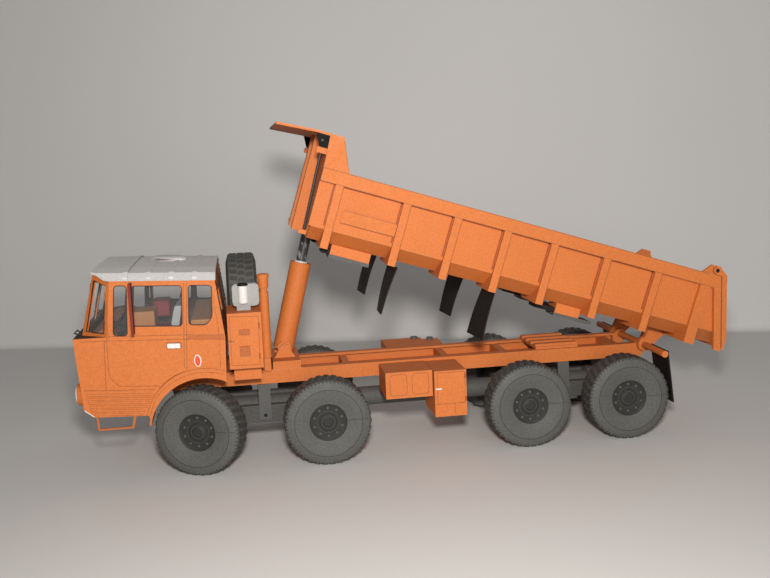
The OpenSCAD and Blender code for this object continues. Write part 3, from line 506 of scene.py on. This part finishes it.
def rounded(points, r, steps=5):
    """The outline with its corners rounded."""
    out = []
    for i, p in enumerate(points):
        p, a, b = Vector(p), Vector(points[i - 1]), Vector(points[(i + 1) % len(points)])
        start, end = p + (a - p).normalized() * r, p + (b - p).normalized() * r
        for k in range(steps + 1):
            t = k / steps
            out.append(tuple((1 - t) ** 2 * start + 2 * t * (1 - t) * p + t ** 2 * end))
    return out


def box_outline(x1, x2, z1, z2):
    return [(x1, z1), (x2, z1), (x2, z2), (x1, z2)]


def oval(centre, half_x, half_z, tilt=0.0, steps=28):
    c, s = math.cos(tilt), math.sin(tilt)
    return [(centre[0] + half_x * math.cos(t) * c - half_z * math.sin(t) * s,
             centre[1] + half_x * math.cos(t) * s + half_z * math.sin(t) * c)
            for t in (2 * math.pi * k / steps for k in range(steps))]


def arc(centre, r1, r2, a1, a2, steps=24):
    """Points on a curve whose radius goes from r1 to r2, angles in degrees."""
    out = []
    for k in range(steps + 1):
        share = k / steps
        a = math.radians(a1 + (a2 - a1) * share)
        r = r1 + (r2 - r1) * share
        out.append((centre[0] + r * math.cos(a), centre[1] + r * math.sin(a)))
    return out


def solid_box(name, body, material, place, low, high, bevel=0.25):
    """A small box-shaped piece with eased edges, drawn through a placing function of three lengths."""
    bm = bmesh.new()
    corners = [(low[0], low[1]), (high[0], low[1]), (high[0], high[1]), (low[0], high[1])]
    add_prism(bm, [place(x, y, low[2]) for x, y in corners], [place(x, y, high[2]) for x, y in corners])
    bmesh.ops.bevel(bm, geom=list(bm.edges), offset=bevel * MM, segments=2, affect="EDGES", profile=0.6)
    return finish_mesh(name, bm, body, (material,))


def tube(name, body, materials, points, r, steps=10, stripes=0):
    """A round bar along points; stripes give it a two-colour twist."""
    bm = bmesh.new()
    pts = [Vector(p) for p in points]
    rings = []
    side = None
    for i, p in enumerate(pts):
        d = (pts[min(i + 1, len(pts) - 1)] - pts[max(i - 1, 0)]).normalized()
        side = (d.cross(Vector((1, 0.02, 0))) if side is None else side - d * side.dot(d)).normalized()
        other = d.cross(side)
        rings.append([bm.verts.new(p + (side * math.cos(t) + other * math.sin(t)) * r * MM)
                      for t in (2 * math.pi * k / steps for k in range(steps))])
    for i, (a, b) in enumerate(zip(rings, rings[1:])):
        for k in range(steps):
            face = bm.faces.new((a[k], a[(k + 1) % steps], b[(k + 1) % steps], b[k]))
            if stripes:
                face.material_index = 1 if ((i + k * stripes / steps) % stripes) < stripes / 3 else 0
    bm.faces.new(rings[0][::-1])
    bm.faces.new(rings[-1])
    return finish_mesh(name, bm, body, materials, 50)


# ---------------------------------------------------------------- cab

ARCH = (0.5, 19.5)      # middle of the wheel arch
CAB_HALF = 38.0
LOUVRE_DROP = -0.062    # slope of the pressed lines at the cab's foot
WINDOWS = [
    [(-33.6, 61.8), (-28, 61.4), (-26.9, 81.8), (-31.8, 82.1)],
    [(-26, 65.2), (-6, 64), (-5.2, 80.6), (-25, 81.6)],
    [(-3.4, 64.3), (3.6, 63.8), (6.2, 67), (6.6, 80), (-2.6, 80.6)],
]
DOOR = [(-35.6, 81.8), (-35.5, 61.7), (-36.3, 60.0), (-36.4, 46.2), (-36.0, 44.7), (-32.8, 40.9),
        (-17.1, 39.8)]
for side_name, side in SIDES:
    face = side_face(CAB_HALF * side)
    strokes = [
        (DOOR + arc(ARCH, 26.0, 26.6, 132, 105, 10), 0.26, False),
        ([(-4.4, 81.7), (-6.4, 46.4)], 0.26, False), ([(-3.2, 81.6), (-5.4, 46.0)], 0.26, False),
        ([(6.4, 81.5), (8.3, 62.5), (8.6, 57.3), (8.1, 45.4)], 0.22, False),
        ([(-37.2, 60.0), (-38.1, 39.4)], 0.26, False),
        ([(-46.7, 40.1), (-37.5, 39.4), (-18.6, 38.5)], 0.26, False),
        ([(-35.5, 61.6), (-5.4, 60.3), (10.6, 59.2)], 0.26, False),
        ([(-46.5, 60.1), (-36.3, 59.9), (-5.5, 58.5), (10.7, 57.4)], 0.26, False),
        (arc(ARCH, 26.3, 26.3, 69, 118, 20) + arc(ARCH, 26.2, 24.6, 121, 160, 16), 0.26, False),
        (arc(ARCH, 24.7, 24.5, 68, 135, 24) + arc(ARCH, 24.4, 23.3, 138, 160, 8), 0.2, False),
    ]
    for row in range(6):
        x1 = -46.2 + 0.35 * row + (1.2 if row == 5 else 0)
        x2 = -19.3 - 1.0 * row
        z = 38.6 - 1.68 * row
        z2 = z + (x2 - x1) * LOUVRE_DROP
        strokes.append((rounded([(x1, z), (x2, z2), (x2, z2 - 0.95), (x1, z - 0.95)], 0.45, 3), 0.17, True))
    draw(f"cab_lines_{side_name}", "root", "print_line", face, strokes)
    draw(f"window_lines_{side_name}", "root", "print_black", face,
         [(rounded(w, 1.6), 0.34, True) for w in WINDOWS], (-0.6, 0.05))
    patch(f"belt_band_{side_name}", "root", "orange_shade", face,
          [[(-3.3, 60.1), (-5.4, 58.5), (10.7, 57.5), (10.6, 59.1)]], (-0.05, 0.02))
    patch(f"door_handle_back_{side_name}", "root", "print_line", face,
          [rounded([(-13.1, 57.7), (-13.1, 54.8), (-6.9, 54.5), (-6.9, 57.4)], 0.7)])
    patch(f"door_handle_{side_name}", "root", "paper_white", face,
          [rounded([(-12.6, 57.2), (-12.6, 55.2), (-7.4, 54.95), (-7.4, 56.95)], 0.3)], (0.0, 0.45))
    patch(f"reflector_rim_{side_name}", "root", "paper_white", face,
          [oval((-0.8, 49.2), 1.45, 2.55, 0.06)])
    patch(f"reflector_{side_name}", "root", "reflector_red", face,
          [oval((-0.85, 49.15), 1.08, 2.15, 0.06)], (0.0, 0.16))
    draw(f"nose_edge_{side_name}", "root", "paper_white", face,
         [([(-47.1, 31.7), (-43.6, 28.85)], 0.3, False)], (-0.3, 0.04))


ROOF_PITCH = math.radians(2.752)
EAVE_FRONT = (-33.5, 84)


def roof(x, y, z):
    """A point in the roof's own lengths, from the front end of its eaves."""
    c, s = math.cos(ROOF_PITCH), math.sin(ROOF_PITCH)
    return at(EAVE_FRONT[0] + x * c + z * s, y, EAVE_FRONT[1] - x * s + z * c)


SECTION = [(-37.9, 0.15), (-33, 2.72), (-20, 3.52), (20, 3.52), (33, 2.72), (37.9, 0.15)]


def roof_strip(bm, x1, x2, low, high, first=0.0, material=0):
    """A strip over the roof. first is the share of the lowest facet left free at each eave."""
    points = list(SECTION)
    if first:
        (y0, z0), (y1, z1) = SECTION[0], SECTION[1]
        points[0] = (y0 + (y1 - y0) * first, z0 + (z1 - z0) * first)
        points[-1] = (-points[0][0], points[0][1])
    rings = []
    for i, (y, z) in enumerate(points):
        a, b = points[max(i - 1, 0)], points[min(i + 1, len(points) - 1)]
        d = Vector((b[0] - a[0], b[1] - a[1])).normalized()
        ny, nz = -d[1], d[0]
        rings.append([bm.verts.new(roof(x, y + ny * k, z + nz * k))
                      for x, k in ((x1, low), (x2, low), (x2, high), (x1, high))])
    for a, b in zip(rings, rings[1:]):
        for k in range(4):
            bm.faces.new((a[k], a[(k + 1) % 4], b[(k + 1) % 4], b[k])).material_index = material
    bm.faces.new(rings[0][::-1]).material_index = material
    bm.faces.new(rings[-1]).material_index = material


bm = bmesh.new()
for x in (6.0, 15.1, 24.2, 33.6):
    roof_strip(bm, x - 1.0, x + 1.0, -0.2, 0.34, 0.3, 1)
    roof_strip(bm, x - 0.7, x + 0.7, -0.2, 0.4, 0.4, 0)
finish_mesh("roof_ribs", bm, "root", ("roof_card", "print_black"))

bm = bmesh.new()
hatch_axis = (roof(20, 0, 5) - roof(20, 0, 0)).normalized()
add_lathe(bm, [(0, 1.35, 0), (6.3, 1.3, 0), (7.0, 1.1, 0), (8.0, 0.1, 0), (8.05, -0.2, 0), (0, -0.2, 0)],
          roof(20, 11.5, 3.6), hatch_axis, 64, closed=False)
finish_mesh("roof_hatch", bm, "root", ("white_card",), 40)


NOSE_FOOT = Vector((-47.4, 31.9))
NOSE_UP = (Vector((-49.4, 60.4)) - NOSE_FOOT).normalized()
NOSE_OUT = Vector((-0.9976, 0, -0.07))


def nose(y, t):
    """A point on the nose panel, t up from its foot fold in millimetres."""
    p = NOSE_FOOT + NOSE_UP * t
    return at(p[0], y, p[1])


nose_face = ((lambda p: nose(*p)), NOSE_OUT)
draw("nose_lines", "root", "print_line", nose_face, [
    (rounded([(-21, 3.4), (21, 3.4), (21, 14.2), (-21, 14.2)], 1.2), 0.26, True),
    ([(-37, 8.0), (-35.4, 8.0)], 0.26, False), ([(35.4, 8.0), (37, 8.0)], 0.26, False),
    ([(-36.9, 27), (36.9, 27)], 0.26, False), ([(-36.9, 18.5), (36.9, 18.5)], 0.26, False),
    ([(0, 18.5), (0, 27)], 0.26, False),
    (rounded([(-9, 20), (9, 20), (9, 25.5), (-9, 25.5)], 1.0), 0.26, True),
])
patch("grille_bars", "root", "print_black", nose_face,
      [rounded([(-19, t), (19, t), (19, t + 1.0), (-19, t + 1.0)], 0.4, 3) for t in (5, 7.2, 9.4, 11.6)])
for side_name, side in SIDES:
    centre = at(-50.55, 30 * side, 36.8)
    bm = bmesh.new()
    add_lathe(bm, [(3.15, -0.2, 0), (3.3, 0.1, 0), (4.3, -0.1, 0), (4.55, -0.5, 0), (4.7, -3.2, 0),
                   (3.1, -3.2, 0)], centre, (-1, 0, 0), 48)
    finish_mesh(f"headlight_housing_{side_name}", bm, "root", ("orange_card",), 30)
    bm = bmesh.new()
    add_lathe(bm, [(2.7, 0.2, 0), (2.85, 0.5, 0), (3.25, 0.5, 0), (3.4, 0.1, 0), (3.3, -1.0, 0),
                   (2.7, -1.0, 0)], centre, (-1, 0, 0), 48)
    add_lathe(bm, [(0, -0.15, 1), (1.4, -0.25, 1), (2.75, -0.5, 1), (2.75, -1.1, 1), (0, -1.1, 1)],
              centre, (-1, 0, 0), 48, closed=False)
    lamp = finish_mesh(f"headlight_{side_name}", bm, "root", ("silver_card", "pale_card"), 50)
    if side > 0:
        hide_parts("headlights")

# Wipers on the windscreen, and the dark print round its panes
SCREEN = ((-46.9, 61.42), (-40.8, 86.7))
SCREEN_OUT = (-0.972, 0.234)


def screen(y, z, out=0.0):
    """A point on the windscreen, or that many millimetres out from it."""
    share = (z - SCREEN[0][1]) / (SCREEN[1][1] - SCREEN[0][1])
    x = SCREEN[0][0] + (SCREEN[1][0] - SCREEN[0][0]) * share
    return at(x + out * SCREEN_OUT[0], y, z + out * SCREEN_OUT[1])


screen_face = ((lambda p: screen(*p)), Vector((SCREEN_OUT[0], 0, SCREEN_OUT[1])))
draw("windscreen_lines", "root", "print_black", screen_face, [
    (rounded([(s * 1.2, 63.0), (s * 28.6, 63.0), (s * 28.6, 84.4), (s * 1.2, 85.2)], 1.6), 0.5, True)
    for s in (-1, 1)], (-0.5, 0.06))
for side_name, a, b, c in (("left", (-13, 62.6), (-20.5, 70.5), (-27, 82)),
                           ("right", (10, 62.6), (3.5, 71), (2.6, 83))):
    tube(f"wiper_arm_{side_name}", "root", ("black_wire",),
         [screen(*a, 0.5), screen((a[0] + b[0]) / 2, (a[1] + b[1]) / 2, 0.9), screen(*b, 0.75)], 0.16)
    foot = screen(b[0] + (b[0] - c[0]) * 0.55, b[1] + (b[1] - c[1]) * 0.55, 0.4)
    tube(f"wiper_blade_{side_name}", "root", ("black_wire",),
         [foot, screen(*b, 0.55), screen(*c, 0.4)], 0.2)

CORNER = [Vector((-46.9, -30, 61.42)), Vector((-36.0, -37.95, 61.42)), Vector((-33.5, -37.95, 84)),
          Vector((-40.8, -30, 86.7))]
for side_name, side in SIDES:
    corners = [Vector((c[0], c[1] * -side, c[2])) for c in CORNER]

    def corner_at(p):
        """A point on the angled pane, from shares of its width and height."""
        s, t = p
        low = corners[0] * (1 - s) + corners[1] * s
        return at(*(low * (1 - t) + (corners[3] * (1 - s) + corners[2] * s) * t))

    normal = Vector((-0.6, 0.8 * side, 0.12)).normalized()
    draw(f"corner_lines_{side_name}", "root", "print_black", (corner_at, normal),
         [([(0.13, 0.06), (0.87, 0.06), (0.87, 0.9), (0.13, 0.9)], 0.45, True)], (-0.45, 0.08))

# Inside: the engine cover between the seats, a bench behind, seat covers, and slats on the cab's back
solid_box("engine_cover", "root", "engine_cover", at,
          (-29.0, -7.6, 57.05), (-19.6, 7.6, 66.2), 0.9)
solid_box("rear_bench", "root", "engine_cover", at,
          (-3.2, -29.6, 54.05), (7.4, 29.6, 64.8), 0.8)
solid_box("cushion_far", "root", "red_card", at, (-22.0, 14.0, 60.0), (-14.6, 26.0, 67.6), 0.9)
for side_name, y in (("left", -20), ("right", 20)):
    bm = bmesh.new()
    outline = [(-9.3, 60.5), (-8.35, 60.8), (-6.6, 70.1), (-7.2, 70.6), (-9.1, 70.6), (-9.6, 70.0),
               (-11.3, 63.0)]
    add_prism(bm, [at(x, y - 6.15, z) for x, z in outline], [at(x, y + 6.15, z) for x, z in outline])
    finish_mesh(f"seat_cover_{side_name}", bm, "root", ("pale_card",))
REAR_OUT = Vector((0.993, 0, 0.117))


def rear_wall(y, z):
    """A point on the outside of the cab's leaning rear wall."""
    return at(10.9 - 2.8 * (z - 58.2) / 23.8, y, z)


bm = bmesh.new()
for _, side in SIDES:
    for k in range(9):
        z = 63.5 + 2.05 * k
        add_path(bm, [rear_wall(side * 36.6, z), rear_wall(side * 32.6, z)], 1.2, REAR_OUT, (-0.05, 0.22))
finish_mesh("rear_wall_slats", bm, "root", ("black_card",))
bm = bmesh.new()
for _, side in SIDES:
    y1, y2 = side * 7, side * 31
    add_path(bm, [rear_wall(y, z) for y, z in ((y1, 65), (y2, 65), (y2, 77), (y1, 77))], 0.5, REAR_OUT,
             (-0.4, 0.06), closed=True)
finish_mesh("rear_window_lines", bm, "root", ("print_black",))

# ---------------------------------------------------------------- behind the cab and on the frame

face = side_face(-36.0)
draw("equipment_lines", "root", "print_line", face, [
    (rounded([(13.0, 66.2), (24.9, 65.7), (24.4, 45.2), (12.9, 45.6)], 0.3, 2), 0.24, True),
    ([(12.1, 55.9), (14.6, 55.6)], 0.4, False),
])
patch("equipment_vents", "root", "orange_shade", face,
      [box_outline(16.6, 20.9, 58.2, 60.6), box_outline(16.5, 20.7, 49.2, 53.5)], (-0.05, 0.03))
draw("equipment_slats", "root", "print_line", face,
     [([(16.7, 58.6 + 0.55 * k), (20.8, 58.6 + 0.55 * k)], 0.14, False) for k in range(4)]
     + [([(16.6, 49.6 + 0.55 * k), (20.6, 49.6 + 0.55 * k)], 0.14, False) for k in range(8)]
     + [(box_outline(16.6, 20.9, 58.2, 60.6), 0.16, True), (box_outline(16.5, 20.7, 49.2, 53.5), 0.16, True)],
     (-0.02, 0.07))
for k, z in enumerate((61.8, 48.9)):
    solid_box(f"equipment_hinge_{k + 1}", "root", "orange_deep", at,
              (24.55 - 0.35 * k, -36.4, z - 1.2), (25.2 - 0.35 * k, -35.9, z + 1.2), 0.12)

# Filter: rounded case, upright canister with a black lid, and its foot
bm = bmesh.new()
case = rounded([(14.6, 69.2), (25.7, 69.2), (25.7, 78.6), (14.6, 78.6)], 1.9, 6)
add_prism(bm, [at(x, -24.6, z) for x, z in case], [at(x, -29.4, z) for x, z in case])
bmesh.ops.bevel(bm, geom=[e for e in bm.edges if abs(e.verts[0].co.y - e.verts[1].co.y) < 1e-6],
                offset=0.35 * MM, segments=2, affect="EDGES")
case = finish_mesh("filter_body", bm, "root", ("pale_card",), 35)
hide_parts("filter_case")
bm = bmesh.new()
add_lathe(bm, [(1.9, 0, 0), (2.1, 0.2, 0), (2.1, 7.3, 0), (1.95, 7.5, 0), (0, 7.5, 0), (0, 0, 0)],
          at(19.1, -29.2, 70.5), (0, 0, 1), 40)
finish_mesh("filter_canister", bm, "root", ("paper_white",), 35)
bm = bmesh.new()
add_lathe(bm, [(2.15, 0, 0), (2.25, 0.15, 0), (2.2, 0.75, 0), (1.7, 1.15, 0), (0.6, 1.3, 0), (0, 1.3, 0),
               (0, 0, 0)], at(19.1, -29.2, 77.9), (0, 0, 1), 40)
finish_mesh("filter_lid", bm, "root", ("black_card",), 35)
solid_box("filter_foot", "root", "pale_card", at,
          (16.2, -29.0, 67.35), (22.0, -25.4, 69.25), 0.2)

# Intake stack with its raised cap
bm = bmesh.new()
add_lathe(bm, [(0, 44, 0), (2.1, 44, 0), (2.1, 73.0, 0), (1.7, 73.1, 1), (1.7, 74.3, 1), (2.0, 74.4, 0),
               (2.3, 75.4, 0), (2.3, 78.9, 0), (2.65, 79.0, 2), (2.65, 79.25, 2), (2.65, 79.3, 0),
               (2.65, 80.2, 0), (2.3, 80.75, 0), (1.2, 80.95, 0), (0, 81.0, 0)],
          at(27.9, -16.2, 0), (0, 0, 1), 40, closed=False)
stack = finish_mesh("stack_tube", bm, "root",
                    ("orange_card", "silver_card", "orange_deep"), 35)
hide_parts("intake_stack")
solid_box("stack_bracket", "root", "orange_card", at,
          (26.4, -17.2, 37.95), (29.4, -12.4, 44.3), 0.2)

face = side_face(-34.5)
draw("tool_box_lines", "root", "print_line", face, [
    (rounded([(79.0, 36.0), (86.4, 36.0), (86.4, 26.9), (79.0, 26.9)], 1.6), 0.24, True),
    (rounded([(88.7, 36.1), (95.9, 36.1), (95.9, 27.0), (88.7, 27.0)], 1.6), 0.24, True)])
face = side_face(-36.6)
draw("battery_box_lines", "root", "print_line", face, [
    (rounded([(99.3, 36.0), (111.4, 36.0), (111.4, 22.2), (99.3, 22.2)], 0.4, 2), 0.24, True),
    ([(106.8, 22.1), (106.8, 17.3)], 0.24, False), ([(98.4, 22.2), (99.3, 22.2)], 0.24, False)])
solid_box("battery_box_handle", "root", "paper_white", at,
          (98.5, -37.0, 28.7), (101.2, -36.55, 29.3), 0.12)
for k, z in enumerate((34.2, 23.9)):
    solid_box(f"battery_box_hinge_{k + 1}", "root", "orange_deep", at,
              (111.35, -36.95, z - 1.1), (111.95, -36.5, z + 1.1), 0.12)
face = side_face(36.0)
draw("fuel_tank_lines", "root", "print_line", face, [
    ([(90, 20.2), (90, 37.4)], 0.5, False), ([(101.5, 20.2), (101.5, 37.4)], 0.5, False),
    (rounded(box_outline(106.8, 113.6, 21.2, 35.4), 0.6), 0.24, True)])

# Thin leaves of the spring packs
bm = bmesh.new()
for a, b in ((0, 51.6), (140.3, 185.6)):
    middle = (a + b) / 2
    for side in (-1, 1):
        for k in range(13):
            half = (b - a) / 2 + 1.5 - (k // 2) * 2.4 - (3 if k > 1 else 0)
            z = 22.05 - 0.575 * (k + 1)
            add_path(bm, [at(middle - half + 0.2, 15 * side, z), at(middle + half - 0.2, 15 * side, z)], 0.14,
                     (0, side, 0), (-0.05, 0.04))
finish_mesh("leaf_lines", bm, "root", ("black_card",))
for side_name, side in SIDES:
    for x in (25.8, 162.95):
        bm = bmesh.new()
        add_lathe(bm, [(0, 0.7, 0), (0.5, 0.65, 0), (0.75, 0.35, 0), (0.75, -0.4, 0), (0, -0.4, 0)],
                  at(x, side * 16.2, 17.9), (0, side, 0), 16, closed=False)
        finish_mesh(f"hanger_bolt_{int(x)}_{side_name}", bm, "root", ("black_card",), 40)

# ---------------------------------------------------------------- bed

RIBS = (158.7, 129.5, 107, 84.5, 62.9, 38.3, 13.8)
for side_name, side in SIDES:
    face = bed_face(39.0 * side)
    draw(f"bed_lines_{side_name}", "bed", "print_line", face, [
        ([(167.0, 39.35), (-9.0, 39.35)], 0.28, False),
        # This line, under the top rail, is painted shadow
        ([(167.0, 34.05), (-11.0, 34.05)], 0.22, False),
        ([(161.6, 52.0), (156.6, 40.2)], 0.2, False),
    ] + [([(u - 1.6, 33.8), (u - 1.6, 7.5)], 0.2, False) for u in RIBS])
    # Painted shade: dark bands on the panel just in front of each rib and under the top rail, where ribs and rail
    # shade it
    patch(f"bed_painted_shade_{side_name}", "bed", "orange_deep", bed_face(37.0 * side),
          [box_outline(u + 1.75, u + 2.5, 16.5, 33.9) for u in RIBS]
          + [box_outline(b + 1.75, a - 1.7, 33.3, 34.0) for a, b in zip(RIBS, RIBS[1:])], (-0.05, 0.06))
    # The lower line, under the raised band, is painted shadow; the upper one is print
    draw(f"bed_band_lines_{side_name}", "bed", "print_line", bed_face(38.0 * side),
         [([(154.6, 24.55), (131.4, 24.55)], 0.24, False), ([(154.6, 19.3), (131.4, 19.3)], 0.3, False)])
    y = 36.0 * side
    rod = tube(f"cord_rod_{side_name}", "bed", ("black_wire", "paper_white"),
               [bed(169.6 - 1.4 * k / 160, y, 45.0 - 33.2 * k / 160) for k in range(161)], 0.55, 12, 8)
    if side > 0:
        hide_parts("sheet_cord_rods")
    for k, (u1, u2, w1, w2) in enumerate(((167.05, 171.6, 44.6, 47.0), (167.05, 170.4, 10.8, 12.6))):
        low, high = sorted((y - 0.9, y + 0.9))
        solid_box(f"rod_bracket_{k + 1}_{side_name}", "bed", "orange_card", bed,
                  (u1, low, w1), (u2, high, w2), 0.15)
    # Strips and a rubber end under the mudguards
    for k, (u1, u2, w1, w2) in enumerate(((137.1, 154.9, 3.5, 5.1), (33.9, 51.9, 3.5, 5.0))):
        low, high = sorted((19.8 * side, 30.25 * side))
        solid_box(f"mudguard_strip_{k + 1}_{side_name}", "bed", "grey_card", bed,
                  (u1, low, w1), (u2, high, w2), 0.12)
    low, high = sorted((21.0 * side, 29.8 * side))
    solid_box(f"mudguard_end_{side_name}", "bed", "black_card", bed,
              (154.65, low, 4.8), (158.4, high, 6.9), 0.3)
    solid_box(f"mudguard_bar_{side_name}", "bed", "black_card", bed,
              (51.7, low, 5.0), (61.2, high, 7.2), 0.3)
    # Mudflaps, each bowed and twisted a little, as thick paper hangs
    for k, (u0, top_twist, foot_twist) in enumerate(((127.3, 0.9, -0.2), (83.5, 0.9, 1.9))):
        if side > 0:
            top_twist, foot_twist = (1.2, 0.9) if k == 0 else (2.0, 1.3)
        bm = bmesh.new()
        rows = []
        for i in range(13):
            t = i / 12
            w = 7.25 - t * 21.0
            bow = 0.5 * math.sin(math.pi * t) + 0.3 * t * t
            twist = (top_twist + (foot_twist - top_twist) * t) * side
            y1, y2 = 23.5 * side + 0.4 * t * side, 37.5 * side - 0.4 * t * side
            middle = (y1 + y2) / 2
            rows.append([bm.verts.new(bed(u0 + bow + twist * lean + thick, y, w))
                         for y, lean, thick in ((y1, -1, 0.25), (middle, 0, 0.25), (y2, 1, 0.25),
                                                (y2, 1, -0.25), (middle, 0, -0.25), (y1, -1, -0.25))])
        for a, b in zip(rows, rows[1:]):
            for j in range(6):
                bm.faces.new((a[j], a[(j + 1) % 6], b[(j + 1) % 6], b[j]))
        bm.faces.new(rows[0][::-1])
        bm.faces.new(rows[-1])
        flap = finish_mesh(f"bed_mudflap_{k + 1}_{side_name}", bm, "bed", ("black_card",), 40)
        if side > 0 and k == 1:
            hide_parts("bed_mudflaps")
    # Bolt heads on the gusset, and the tail gate's pin
    bm = bmesh.new()
    add_lathe(bm, [(0, 0.35, 0), (0.35, 0.35, 0), (0.55, 0.1, 0), (0.55, -0.2, 0), (0, -0.2, 0)],
              bed(170.3, 37.98 * side, 49.8), (0, side, 0), 16, closed=False)
    finish_mesh(f"gusset_bolt_{side_name}", bm, "bed", ("hub_mark",), 40)
    bm = bmesh.new()
    add_lathe(bm, [(0, 0.3, 0), (0.75, 0.3, 0), (0.9, 0.1, 0), (0.9, -0.2, 0), (0, -0.2, 0)],
              bed(-12.4, 38.98 * side, 41.6), (0, side, 0), 24, closed=False)
    finish_mesh(f"gate_pin_{side_name}", bm, "tailgate", ("black_card",), 40)
    draw(f"gate_edge_{side_name}", "tailgate", "print_line", bed_face(38.98 * side),
         [([(-15.6, 38.4), (-24.9, 9.4)], 0.24, False)])

# Folds on the front wall's posts
bm = bmesh.new()
bed_forward = bed(1, 0, 0) - bed(0, 0, 0)
for _, side in SIDES:
    for y in (9.2, 12.8):
        add_path(bm, [bed(171.6, y * side, 10.6), bed(171.6, y * side, 52.0)], 0.22, bed_forward,
                 (-0.05, 0.05))
finish_mesh("front_post_lines", bm, "bed", ("print_line",))

# Printed frame on the outside of the tail gate
GATE_FOOT = Vector((25.86, 14.0))
GATE_UP = (Vector((18.0, 38.5)) - GATE_FOOT).normalized()
GATE_OUT = Vector((0.952, 0.306))


def gate(y, t):
    """A point on the tail gate's outside, t up from its foot."""
    p = GATE_FOOT + GATE_UP * t
    return bed(-p[0], y, p[1])


gate_over = GATE_FOOT + GATE_OUT
gate_face = ((lambda p: gate(*p)), (bed(-gate_over[0], 0, gate_over[1]) - gate(0, 0)).normalized())
draw("gate_lines", "tailgate", "print_line", gate_face,
     [(rounded([(y, 2), (y + 22, 2), (y + 22, 23.5), (y, 23.5)], 0.8), 0.28, True) for y in (-37, -11, 15)]
     + [([(-38.5, 1.0), (38.5, 1.0)], 0.26, False), ([(-38.5, 24.6), (38.5, 24.6)], 0.26, False)])


# ---------------------------------------------------------------- stage, light, camera

WALL_Y = 247            # where the wall meets the floor, beside the front axle
WALL_SLOPE = -0.234     # the wall comes nearer towards the tail
COVE = 5                # radius of the fold between floor and wall
bm = bmesh.new()
curve = [(-1500, 0.0)] + [(COVE * (math.sin(t) - 1), COVE * (1 - math.cos(t)))
                          for t in (math.pi / 2 * k / 8 for k in range(9))] + [(0, 1500)]
rows = [[bm.verts.new(at(x, WALL_Y + WALL_SLOPE * x + y, z)) for x in (-1600, 1800)] for y, z in curve]
for a, b in zip(rows, rows[1:]):
    bm.faces.new((a[0], a[1], b[1], b[0]))
mesh = bpy.data.meshes.new("stage")
bm.to_mesh(mesh)
bm.free()
backdrop = bpy.data.objects.new("stage", mesh)
bpy.context.scene.collection.objects.link(backdrop)
n = Nodes("stage_paint")
tint = n.ramp(n.noise(3, 2), [(0.3, (0.67, 0.655, 0.64)), (0.7, (0.71, 0.695, 0.68))])
n.link(tint, n.shader.inputs["Base Color"])
n.shader.inputs["Roughness"].default_value = 0.62
n.shader.inputs["Specular IOR Level"].default_value = 0.35
n.bump(n.noise(40, 2), 0.05, 0.0005)
# Seen from behind, the wall lets the other views through
mixer = n.new("ShaderNodeMixShader")
n.link(n.new("ShaderNodeNewGeometry").outputs["Backfacing"], mixer.inputs["Fac"])
n.link(n.shader.outputs["BSDF"], mixer.inputs[1])
n.link(n.new("ShaderNodeBsdfTransparent").outputs["BSDF"], mixer.inputs[2])
n.link(mixer.outputs["Shader"], n.tree.nodes["Material Output"].inputs["Surface"])
mesh.materials.append(n.mat)
for polygon in mesh.polygons:
    polygon.use_smooth = True

world = bpy.data.worlds.new("world")
bpy.context.scene.world = world
world.use_nodes = True
world.node_tree.nodes["Background"].inputs["Color"].default_value = (0.93, 0.97, 1.0, 1)
world.node_tree.nodes["Background"].inputs["Strength"].default_value = 0.10


def area_light(name, place, target, size, power, colour=(1, 1, 1), spread=180):
    light = bpy.data.lights.new(name, "AREA")
    light.shape = "DISK"
    light.size = size * MM
    light.energy = power
    light.color = colour
    light.spread = math.radians(spread)
    obj = bpy.data.objects.new(name, light)
    obj.location = at(*place)
    obj.rotation_euler = (at(*target) - at(*place)).to_track_quat("-Z", "Y").to_euler()
    bpy.context.scene.collection.objects.link(obj)


# The camera as fitted to the photograph: angles in radians, focal length in pixels of its width
YAW, PITCH, ROLL, FOCAL = 0.148, 0.145, -0.040, 944.0
IMAGE_WIDTH, SENSOR = 770, 36
EYE = (20.31, -424.85, 131.20)
cy, sy, cp, sp = math.cos(YAW), math.sin(YAW), math.cos(PITCH), math.sin(PITCH)
forward = Vector((sy * cp, cy * cp, -sp))
right0 = Vector((cy, -sy, 0))
up0 = right0.cross(forward)
right = math.cos(ROLL) * right0 + math.sin(ROLL) * up0
up = -math.sin(ROLL) * right0 + math.cos(ROLL) * up0
camera = bpy.data.objects.new("camera", bpy.data.cameras.new("camera"))
camera.data.lens = FOCAL * SENSOR / IMAGE_WIDTH
camera.data.sensor_width = SENSOR
camera.data.clip_start = 0.01
camera.data.clip_end = 10
turn = Matrix((right, up, -forward)).transposed().to_4x4()
camera.matrix_world = Matrix.Translation(at(*EYE)) @ turn
bpy.context.scene.collection.objects.link(camera)
bpy.context.scene.camera = camera
flash = Vector(EYE) + up * 47 + right * 3
area_light("key", flash, flash + forward * 500, 34, 1.12, (1.0, 0.965, 0.91), 150)
area_light("room", (250, -1500, 380), (90, 40, 60), 1400, 6.4, (0.985, 0.99, 1.0))
bpy.context.scene.view_settings.view_transform = "Standard"

bpy.context.view_layer.update()
